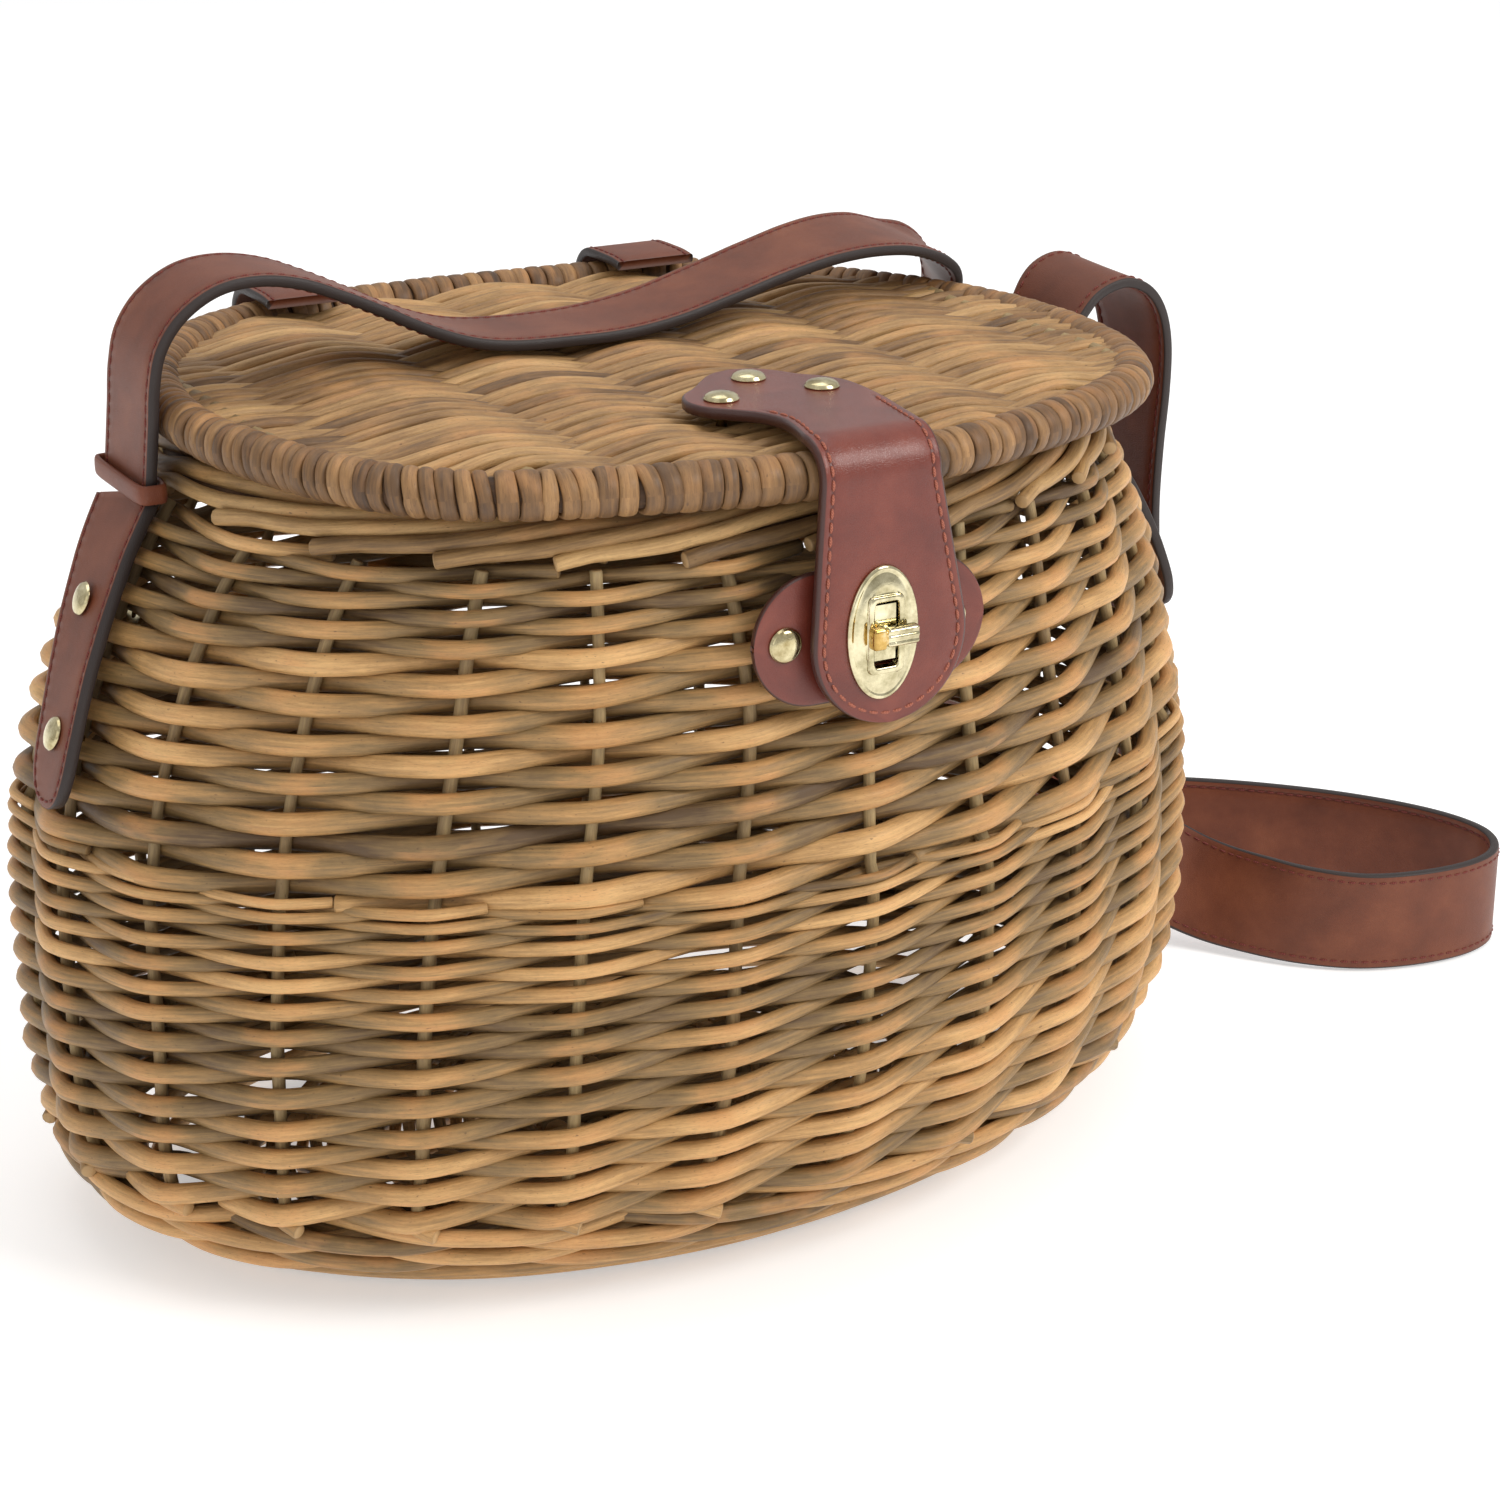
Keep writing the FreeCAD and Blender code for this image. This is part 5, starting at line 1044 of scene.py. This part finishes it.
def strap_rows(t):
    e = 0.02
    c = spline_at(SC, t)
    d = unit(spline_at(SC, np.minimum(t + e, len(SC) - 1)) - spline_at(SC, np.maximum(t - e, 0)))
    w = spline_at(SA, t)
    w = unit(w - d * (w * d).sum(-1, keepdims=True))
    return c, d, w, unit(np.cross(d, w))


RUN_T = np.linspace(0, len(SC) - 1, 1400)
RUN_L = np.r_[0, np.cumsum(np.linalg.norm(np.diff(spline_at(SC, RUN_T), axis=0), axis=1))]


def strap_piece(name, t0, t1, caps):
    mesh = Mesh()
    t = np.linspace(t0, t1, int((t1 - t0) * 7) + 1)
    c, d, w, nrm = strap_rows(t)
    up = nrm
    hw = 16.25
    strip(mesh, c, w, up, hw, hw, 3.0, 0.9, v0=float(np.interp(t0, RUN_T, RUN_L)) / 100.0, back=0.15)
    for sgn in (-1, 1):
        for face in (1, -1):
            line = c + w * (sgn * (hw - 2.6)) + up * face * (1.5 - (0.22 if face > 0 else 0.0))
            stitches(mesh, line, up * face, step=3.3, length=2.5, rad=0.36, lift=0.1 if face > 0 else 0.02)
    return mesh.make(name, [mat_strap, mat_thread])


strap_a = strap_piece("strap_over_lid_left", 0.0, 24.4, (0, 0))
strap_b = strap_piece("strap_behind", 24.4, 35.5, (0, 0))
strap_c = strap_piece("strap_right_side", 35.5, len(SC) - 1.0, (0, 0))
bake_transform(strap_a)
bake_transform(strap_b)
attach(strap_c, "basket")
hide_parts("strap_left_riser", "strap_over_lid")
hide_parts("strap_back_leg")
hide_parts("strap_floor_loop", "strap_right_leg", "strap_right_arch")

# tabs on the two ends
TAB_LINE = np.array([
    (205.5, 8.0, 16.2), (192.0, 3.0, 15.3), (182.0, -1.0, 14.3), (172.0, -5.0, 13.4),
    (162.0, -8.0, 12.7), (152.5, -10.7, 12.2), (144.0, -12.4, 11.8), (138.5, -13.2, 10.2),
    (134.5, -13.7, 6.5), (133.0, -13.9, 2.6)])
TAB_RIVETS = [(180.5, -1.6), (149.5, -11.4)]


def wall_x(y, z, side, off=0.0):
    y, z = np.asarray(y, float), np.asarray(z, float)
    w, f, b, nf, nb, cx = [np.interp(z, _zt, _lt[k]) for k in range(6)]
    n = np.where(y < 0, nf, nb)
    d = np.where(y < 0, f, b)
    return cx + side * ((w + off) * (1 - np.minimum(np.abs(y) / (d + off), 1.0) ** n) ** (1 / n))


def tab_piece(name, side, lean, node):
    mesh = Mesh()
    zt = TAB_LINE[::-1, 0]
    zz = np.concatenate([[133.0, 133.15, 133.5, 134.0, 134.6, 135.4, 136.4, 137.6, 139.0, 141.0], np.linspace(143, 205.3, 34)])
    yc = np.interp(zz, zt, TAB_LINE[::-1, 1])
    hw = pchip(zt, TAB_LINE[::-1, 2], zz)
    base = np.max([side * wall_x(yc + q * hw, zz, side) for q in (-0.5, 0, 0.5)], axis=0)
    xw = side * wall_x(yc, zz, side)
    x = side * (0.5 * (base + xw) + 1.2 + 0.35 + 1.7 + lean * np.maximum(0, (zz - 183.0) / 22.5) ** 1.5)
    cen = np.stack([x, yc, zz], -1)
    tan = unit(np.gradient(cen, axis=0))
    across = np.tile([0.0, 1.0, 0.0], (len(zz), 1))
    across = unit(across - tan * (across * tan).sum(-1, keepdims=True))
    up = np.cross(tan, across)
    up = up * np.sign(up[:, :1] * side)
    strip(mesh, cen, across * side * -1, up, hw, hw, 3.4, 1.1, seam_at=2.4, seam_on=np.clip((hw - 5) / 6, 0, 1))
    for sgn in (-1, 1):
        sel = hw > 9.8
        line = cen + across * (sgn * (hw - 2.4))[:, None] + up * 1.5
        stitches(mesh, line[sel], up[sel], step=3.2, length=2.4, rad=0.36, lift=0.1)
    # round foot of the seam
    k = int(np.argmax(hw > 9.8))
    r0 = hw[k] - 2.4
    a = np.linspace(PI, 2 * PI, 15)
    loc = cen[k] + across[k] * (np.cos(a) * r0)[:, None] + tan[k] * (np.sin(a) * 4.6)[:, None] + up[k] * 1.55
    stitches(mesh, loc, np.tile(up[k], (15, 1)), step=3.0, length=2.2, rad=0.36, lift=0.1)
    ob = mesh.make(name, [mat_strap, mat_thread])
    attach(ob, "basket")
    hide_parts(node)
    return ob


tab_piece("tab_leather_left", -1, 0.8, "tab_left")
tab_piece("tab_leather_right", 1, 3.9, "tab_right")


def keeper(name, xk, node):
    """Leather band round the strap's foot: a closed loop with rounded section."""
    mesh = Mesh()
    n = 96
    a = np.linspace(0, 2 * PI, n, endpoint=False)
    hx, hy = 2.6 + 0.9, 17.05 + 0.9
    c, s_ = np.cos(a), np.sin(a)
    x = xk + hx * np.sign(c) * np.abs(c) ** (2 / 6.0)
    y = 6.9 + hy * np.sign(s_) * np.abs(s_) ** (2 / 6.0)
    p = np.stack([x, y, np.full(n, 209.7)], -1)
    out = unit(np.stack([c * hy, s_ * hx * 0.5, np.zeros(n)], -1))
    tan = unit(np.roll(p, -1, 0) - np.roll(p, 1, 0))
    nrm = np.cross(tan, (0, 0, 1))
    tube(mesh, p, nrm, 0.9, sides=16, wide=2.8, closed=True, square=3.2, edge=0.0, seam=0.0, back=0.0)
    ob = mesh.make(name, [mat_strap])
    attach(ob, "basket")
    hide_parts(node)
    return ob


keeper("keeper_band_left", -138.55, "strap_keeper_left")
keeper("keeper_band_right", 140.0, "strap_keeper_right")

# ------------------------------------------------------------------ clasp flap
CX, LOCK = -1.5, 188.0
HL = np.array([(-3, -63.2), (-9.5, -65), (-14.5, -69.5), (-20, -75.5), (-25.5, -80.5), (-27.8, -87), (-26.3, -93.5),
               (-22, -98.5), (-17.5, -104), (-15.2, -111), (-15.8, -118), (-18, -127)], float)
HR = np.array([(-3, -63.2), (3.5, -64.8), (8, -69.5), (11.5, -75.5), (15.5, -80), (18.3, -85.5), (19, -92), (18.8, -99),
               (18.2, -106), (16.8, -115), (15, -127)], float)


def dense(pts):
    return spline_at(pts, np.linspace(0, len(pts) - 1, 200))


hl, hr = dense(HL), dense(HR)
rows = []  # (centre, across, up, left half width, right half width)
yy = -63.25 - 63.6 * np.linspace(0, 1, 60) ** 1.6
for y in yy:
    xl = np.interp(-y, -hl[:, 1], hl[:, 0])
    xr = np.interp(-y, -hr[:, 1], hr[:, 0])
    rows.append(((CX, y, 235.4), (1, 0, 0), (0, 0, 1), CX - xl, xr - CX))
for a in np.linspace(0, 90, 13)[1:]:
    r = math.radians(a)
    rows.append(((CX, -127 - 8.9 * math.sin(r), 226.5 + 8.9 * math.cos(r)), (1, 0, 0), (0, -math.sin(r), math.cos(r)), 16.5, 16.5))
R_, half_, top_ = 21.5, 16.5, 226.2 - 186.0
END_X = 2.8


def tongue_half(z, side):
    """Distance from the clasp's middle line to the tongue's edge on one side."""
    h = z - 186.0
    reach = half_ - side * END_X
    t = math.atan2(top_, reach) - math.acos(R_ / math.hypot(reach, top_))
    ex, ez = side * END_X + R_ * math.cos(t), R_ * math.sin(t)
    if h > ez:
        return half_ + (ex - half_) * (top_ - h) / (top_ - ez)
    return side * END_X + math.sqrt(max(R_ * R_ - h * h, 0.0))


zz = list(np.linspace(225.5, 172, 40)) + list(186 - 21.5 * np.sin(np.linspace(math.asin(14.6 / 21.5), PI / 2 * 0.995, 16)))
for z in zz:
    rows.append(((CX, -135.9, z), (1, 0, 0), (0, -1, 0), tongue_half(z, -1), tongue_half(z, 1)))
cen = np.array([r[0] for r in rows])
acr = np.array([r[1] for r in rows], float)
ups = np.array([r[2] for r in rows], float)
wl, wr = np.array([r[3] for r in rows]), np.array([r[4] for r in rows])
flap = Mesh()
strip(flap, cen, acr, ups, wl, np.where(wl + wr > 0.6, wr, 0.6 - wl), 3.0, 1.0, seam_at=2.6, seam_on=np.where((cen[:, 1] < -104) & (cen[:, 2] > 176), 1.0, 0.0))
# stitch line: down one side, round the end, up the other
left_line, left_up = [], []
for c_, u_, l_, r_ in zip(cen, ups, wl, wr):
    if c_[1] < -104 and c_[2] > 186:
        left_line.append((c_, u_, l_, r_))
L = np.array([c_ + np.array([-(l_ - 2.6), 0, 0]) + u_ * 1.34 for c_, u_, l_, r_ in left_line])
Rr = np.array([c_ + np.array([r_ - 2.6, 0, 0]) + u_ * 1.34 for c_, u_, l_, r_ in left_line])
U = np.array([u_ for c_, u_, l_, r_ in left_line])
aa = np.linspace(PI, 2 * PI, 60)
E = np.stack([CX + END_X + (R_ - 2.6) * np.cos(aa), np.full(60, -135.9 - 1.34), 186 + (R_ - 2.6) * np.sin(aa)], -1)
line = np.vstack([L, E, Rr[::-1]])
upl = np.vstack([U, np.tile([0, -1.0, 0], (60, 1)), U[::-1]])
stitches(flap, line, upl, step=3.4, length=2.7, rad=0.42, lift=0.12)
obj_flap = flap.make("clasp_flap", [mat_flap, mat_thread_o])
# slot for the turn-lock
bpy.ops.mesh.primitive_cube_add(size=1)
cutter = bpy.context.active_object
cutter.data.transform(Matrix.Translation((CX * MM, -0.1359, LOCK * MM)) @ Matrix.Diagonal((0.0072, 0.02, 0.0168, 1)))
mod = obj_flap.modifiers.new("slot", "BOOLEAN")
mod.operation = "DIFFERENCE"
mod.object = cutter
mod.solver = "EXACT"
bpy.context.view_layer.update()
dg = bpy.context.evaluated_depsgraph_get()
new_me = bpy.data.meshes.new_from_object(obj_flap.evaluated_get(dg), depsgraph=dg)
obj_flap.modifiers.clear()
obj_flap.data = new_me
new_me.name = "clasp_flap"
bpy.data.objects.remove(cutter, do_unlink=True)
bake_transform(obj_flap)
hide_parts("flap_head", "flap_tongue")

# keeper patch on the basket
patch = Mesh()
th_ = np.concatenate([np.linspace(PI, PI / 2, 20), np.linspace(PI / 2, 0, 20)])
xs = np.concatenate([-15.5 + 17 * np.cos(np.linspace(PI * 0.985, PI / 2, 18)), np.linspace(-13, 13, 12), 15.5 + 17 * np.cos(np.linspace(PI / 2, PI * 0.015, 18))])
hh = np.where(np.abs(xs) > 15.5, np.sqrt(np.maximum(17 ** 2 - (np.abs(xs) - 15.5) ** 2, 0.05)), 17.0)
n = len(xs)
cen = np.stack([CX + xs, np.full(n, -131.3), np.full(n, LOCK - 1.0)], -1)
strip(patch, cen, np.tile([0, 0, 1.0], (n, 1)), np.tile([0, -1.0, 0], (n, 1)), hh, hh, 1.8, 0.8, seam_on=0.0)
aa = np.linspace(0, 2 * PI, 200)
ex = np.sign(np.cos(aa)) * 15.5 + 14.6 * np.cos(aa)
ez = 14.6 * np.sin(aa)
ln = np.stack([CX + ex, np.full(200, -132.2), LOCK - 1 + ez], -1)
obj_patch = patch.make("keeper_patch_leather", [mat_flap, mat_thread_o])
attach(obj_patch, "basket")
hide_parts("keeper_patch")

# ------------------------------------------------------------------ leather hinges
AY, AZ = 99.2, 218.6


def hoop_back_y(x):
    best = -1e9
    for q in range(len(hoop)):
        a, b = hoop[q], hoop[(q + 1) % len(hoop)]
        if min(a[0], b[0]) <= x <= max(a[0], b[0]) and a[0] != b[0]:
            best = max(best, a[1] + (b[1] - a[1]) * (x - a[0]) / (b[0] - a[0]))
    return best


def wall_y(x, z):
    w, f, b, nf, nb, cx = [float(np.interp(z, _zt, _lt[k])) for k in range(6)]
    return b * (1 - min(abs(x - cx) / w, 1.0) ** nb) ** (1 / nb)


for side, hx in (("left", -62.0), ("right", 46.0)):
    hw = 12.5
    hy = max(hoop_back_y(hx - hw), hoop_back_y(hx), hoop_back_y(hx + hw)) + 0.3
    rm = 7.5 + 1.3
    pts = [(hy - 19.0, HZ + rm - 0.6), (hy - 14.0, HZ + rm), (hy - 7.0, HZ + rm + 0.1)]
    pts += [(hy + rm * math.cos(math.radians(a)), HZ + rm * math.sin(math.radians(a))) for a in (90, 75, 60, 45, 30, 15, 0)]
    zl = 198.0
    w0 = max(wall_y(q, zl) for q in (hx - hw, hx, hx + hw)) + 0.4 + 1.3
    w1 = max(wall_y(q, zl + 7) for q in (hx - hw, hx, hx + hw)) + 0.4 + 1.3
    pts += [(AY - 1.0, AZ + 2.0), (AY - 1.3, AZ - 1.0), (0.5 * (AY - 1.3 + w1), 0.5 * (AZ + zl + 7)), (w1, zl + 7.0), (w0, zl)]
    P2 = np.array([(0.0, a, b) for a, b in pts])
    q = spline_at(P2, np.linspace(0, len(P2) - 1, 70))
    n = len(q)
    tan = unit(np.gradient(q, axis=0))
    up = np.stack([np.zeros(n), -tan[:, 2] * -1, tan[:, 1]], -1)
    up = np.cross(np.tile([1.0, 0, 0], (n, 1)), tan)
    if up[0, 2] < 0:
        up = -up
    cen = q + np.array([hx, 0, 0])
    mesh = Mesh()
    hwv = np.full(n, 12.5)
    strip(mesh, cen, np.tile([1.0, 0, 0], (n, 1)), up, hwv, hwv, 2.6, 0.8, seam_at=2.2)
    for sg in (-1, 1):
        stitches(mesh, cen + np.array([sg * 10.3, 0, 0]) + up * 1.1, up, step=3.2, length=2.3, rad=0.34, lift=0.1)
    ob = mesh.make("hinge_strap_" + side, [mat_strap, mat_thread])
    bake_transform(ob)
    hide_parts("hinge_%s_rim_loop" % side, "hinge_%s_lid_loop" % side)


# ------------------------------------------------------------------ brass
def turned(mesh, place, zdir, prof, seg=48, mat=0):
    """Surface of revolution; prof is a list of (radius, height) from the outside in."""
    z = unit(np.asarray(zdir, float))
    x = np.cross(z, (0.3, 0.2, 0.9))
    if np.linalg.norm(x) < 0.1:
        x = np.cross(z, (1.0, 0, 0))
    x = unit(x)
    y = np.cross(z, x)
    a = np.linspace(0, 2 * PI, seg, endpoint=False)
    dirs = np.cos(a)[:, None] * x + np.sin(a)[:, None] * y
    prof = np.array(prof, float)
    v = place + prof[:, None, 1:2] * z + prof[:, None, 0:1] * dirs[None]
    m = len(prof)
    i = np.arange(m - 1)[:, None]
    j = np.arange(seg)[None]
    j2 = (j + 1) % seg
    quads = np.stack([i * seg + j, i * seg + j2, (i + 1) * seg + j2, (i + 1) * seg + j], -1).reshape(-1, 4)
    mesh.add(v.reshape(-1, 3), quads=quads, mat=mat)


def rivet_prof(R=4.5, hgt=2.0):
    p = [(1.5, -1.2), (1.5, -0.02), (R - 0.5, -0.02), (R - 0.12, 0.06), (R, 0.25), (R - 0.05, 0.5), (R - 0.3, 0.72)]
    for k in range(1, 9):
        t = k / 8.0
        p.append(((R - 0.3) * math.cos(t * PI / 2) ** 0.9 + 0.02, 0.72 + (hgt - 0.72) * math.sin(t * PI / 2) ** 1.1))
    return p


def rivets(name, places, body, nodes, hgt=2.0):
    mesh = Mesh()
    for p, z in places:
        turned(mesh, np.asarray(p, float), z, rivet_prof(4.5, hgt))
        q = rivet_prof()
        # shank down through the leather
        turned(mesh, np.asarray(p, float), z, [(0.02, -8.0), (1.45, -8.0), (1.45, -0.5)], seg=24)
    ob = mesh.make(name, [mat_brass_r])
    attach(ob, body)
    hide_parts(*nodes)
    return ob


def tab_axis(side):
    (z1, y1), (z2, y2) = TAB_RIVETS
    a = np.array([float(wall_x(y1, z1, side)), y1, z1])
    b = np.array([float(wall_x(y2, z2, side)), y2, z2])
    along = unit(a - b)
    across = unit(np.array([0, 1.0, 0]) - along * along[1])
    out = np.cross(along, across) * -1
    if out[0] * side < 0:
        out = -out
    return a, b, along, out


for side, tag in ((-1, "left"), (1, "right")):
    a, b, along, out = tab_axis(side)
    lift = 1.2 + 3.4 + 0.9
    rivets("tab_rivet_heads_" + tag, [(a + out * (lift - 0.25), out), (b + out * (lift - 0.25), out)], "basket", ["tab_%s_rivets" % tag], 1.7)
HEAD_RIVETS = [(-19.0, -89.0), (-3.0, -74.0), (9.0, -90.0)]
rivets("flap_rivet_heads", [((x, y, 236.9), (0, 0, 1)) for x, y in HEAD_RIVETS], "lid", ["flap_head_rivets"], 2.1)
rivets("patch_rivet_heads", [((CX + off, -132.2, LOCK - 1), (0, -1, 0)) for off in (-24, 22.6)], "basket", ["keeper_patch_rivets"], 2.0)

# oval eyelet plate: rings that change from the oval outline to the slot
plate = Mesh()
seg = 128
a = np.linspace(0, 2 * PI, seg, endpoint=False)


def oval(rx, rz):
    return np.stack([rx * np.cos(a), rz * np.sin(a)], -1)


def rect(hx, hz, e=9.0):
    c, s_ = np.cos(a), np.sin(a)
    k = (np.abs(c) ** e + np.abs(s_ * 1.0) ** e) ** (-1 / e)
    # follow the ray that the oval's point is on, clipped to the box
    px, pz = 10.0 * c, 17.0 * s_
    q = (np.abs(px / hx) ** e + np.abs(pz / hz) ** e) ** (-1 / e)
    return np.stack([px * q, pz * q], -1)


rings_ = [(oval(9.2, 16.2), 0.0), (oval(9.85, 16.85), 0.05), (oval(10.0, 17.0), 0.35), (oval(9.8, 16.8), 0.75), (oval(9.3, 16.3), 1.0), (oval(8.9, 15.9), 0.98),
          (oval(8.55, 15.5), 0.76), (oval(8.3, 15.2), 0.76), (oval(7.8, 14.6), 1.02), (oval(7.1, 13.6), 1.34), (oval(6.5, 12.5), 1.52), (oval(6.1, 11.8), 1.6)]
mid_r = [(0.5 * (oval(6.1, 11.8) + rect(5.0, 9.75)), 1.64), (rect(5.15, 9.9), 1.62), (rect(5.0, 9.75), 1.72), (rect(5.0, 9.75), 2.25), (rect(4.85, 9.6), 2.4),
         (rect(3.75, 8.5), 2.4), (rect(3.5, 8.25), 2.2), (rect(3.5, 8.25), 0.0)]
allr = rings_ + mid_r
v = []
for xy, hgt in allr:
    v.append(np.stack([CX + xy[:, 0], np.full(seg, -137.42 - hgt), LOCK + xy[:, 1]], -1))
m = len(v)
i = np.arange(m)[:, None]
j = np.arange(seg)[None]
j2 = (j + 1) % seg
i2 = (i + 1) % m
quads = np.stack([i * seg + j, i * seg + j2, i2 * seg + j2, i2 * seg + j], -1).reshape(-1, 4)
plate.add(np.array(v).reshape(-1, 3), quads=quads)
obj_plate = plate.make("eyelet_oval", [mat_brass])
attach(obj_plate, "flap")
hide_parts("eyelet_plate")

# turn-lock knob: round pin, neck and a ridged cross bar
knob = Mesh()
turned(knob, np.array([CX, -130.6, LOCK]), (0, -1, 0), [(0.02, 0), (2.2, 0), (2.2, 8.2), (2.0, 8.6), (2.0, 9.6)], seg=32)


def bar(x0, x1, hy, hz, nx, na, ridge, power, round_end):
    """Lengthwise block with soft ends; ridge is the depth of the grooves along it."""
    aa = np.linspace(0, 2 * PI, na, endpoint=False)
    c, s_ = np.cos(aa), np.sin(aa)
    k = (np.abs(c) ** power + np.abs(s_) ** power) ** (-1 / power)
    prof = []
    for q in np.sin(np.linspace(-PI / 2, PI / 2, nx)):
        end = max(1 - abs(q) ** round_end, 0.0) ** 0.35 if abs(q) < 1 else 0.02
        end = max(end, 0.02)
        zz = hz * end * s_ * k
        groove = ridge * end * (0.5 + 0.5 * np.cos(zz * 2 * PI / 1.72)) * (np.abs(c * k) > 0.62)
        yy = (hy * end * c * k) + groove * np.sign(c)
        prof.append(np.stack([np.full(na, 0.5 * (x0 + x1) + 0.5 * (x1 - x0) * q), -141.5 - yy, LOCK + zz], -1))
    V = np.array(prof).reshape(-1, 3)
    i = np.arange(nx - 1)[:, None]
    j = np.arange(na)[None]
    j2 = (j + 1) % na
    quads = np.stack([i * na + j, i * na + j2, (i + 1) * na + j2, (i + 1) * na + j], -1).reshape(-1, 4)
    tr = [(0, q, q + 1) for q in range(1, na - 1)] + [((nx - 1) * na, (nx - 1) * na + q + 1, (nx - 1) * na + q) for q in range(1, na - 1)]
    return V, quads, tr


V, quads, tr = bar(CX - 5.5, CX - 1.75, 1.62, 2.62, 22, 64, 0.0, 7.0, 10)
knob.add(V, quads=quads, tris=tr, mat=1)
V, quads, tr = bar(CX - 2.4, CX - 1.1, 1.15, 1.9, 14, 32, 0.0, 4.0, 10)
knob.add(V, quads=quads, tris=tr, mat=1)
V, quads, tr = bar(CX - 1.55, CX + 7.6, 1.28, 2.45, 40, 120, 0.3, 4.0, 16)
knob.add(V, quads=quads, tris=tr)
obj_knob = knob.make("turn_knob", [mat_brass, mat_brass_g])
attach(obj_knob, "knob")
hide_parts("turnlock_knob")

# CAD nodes that stay get their own finish
for node in ("turnlock_base", "turnlock_washer", "eyelet_backplate"):
    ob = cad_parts[node]
    ob.data.materials.clear()
    ob.data.materials.append(mat_brass)
for node in ("keeper_patch_burrs", "tab_rivet_burrs", "flap_rivet_burrs"):
    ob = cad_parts[node]
    ob.data.materials.clear()
    ob.data.materials.append(mat_brass_r)

# ------------------------------------------------------------------ floor and light
bpy.ops.mesh.primitive_plane_add(size=60, location=(0, 0, -0.0005))
floor = bpy.context.active_object
floor.name = "floor"
fm = Nodes("floor_pale")
fm.bsdf.inputs["Base Color"].default_value = (0.82, 0.82, 0.82, 1)
fm.bsdf.inputs["Roughness"].default_value = 0.9
fm.bsdf.inputs["Emission Color"].default_value = (1, 1, 1, 1)
fm.bsdf.inputs["Emission Strength"].default_value = 0.42
floor.data.materials.append(fm.mat)

world = bpy.data.worlds.new("studio")
bpy.context.scene.world = world
world.use_nodes = True
world.node_tree.nodes["Background"].inputs[0].default_value = (1, 1, 1, 1)
world.node_tree.nodes["Background"].inputs[1].default_value = 0.62


def area(name, at, to, size, power, colour=(1, 1, 1), size_y=None):
    ld = bpy.data.lights.new(name, "AREA")
    ld.shape = "RECTANGLE"
    ld.size = size
    ld.size_y = size_y or size
    ld.energy = power
    ld.color = colour
    ob = bpy.data.objects.new(name, ld)
    bpy.context.scene.collection.objects.link(ob)
    ob.location = at
    d = Vector(to) - Vector(at)
    ob.rotation_euler = d.to_track_quat("-Z", "Y").to_euler()
    return ob


area("key", (0.9, -1.4, 1.5), (0, 0, 0.1), 0.9, 24, (1.0, 0.98, 0.95))
area("fill", (-1.5, -1.0, 0.9), (0, 0, 0.1), 1.2, 2.5, (1.0, 0.99, 0.97))
area("top", (0.0, 0.3, 1.9), (0, 0, 0.1), 1.4, 8)
bpy.context.scene.view_settings.view_transform = "Standard"
bpy.context.scene.view_settings.look = "None"
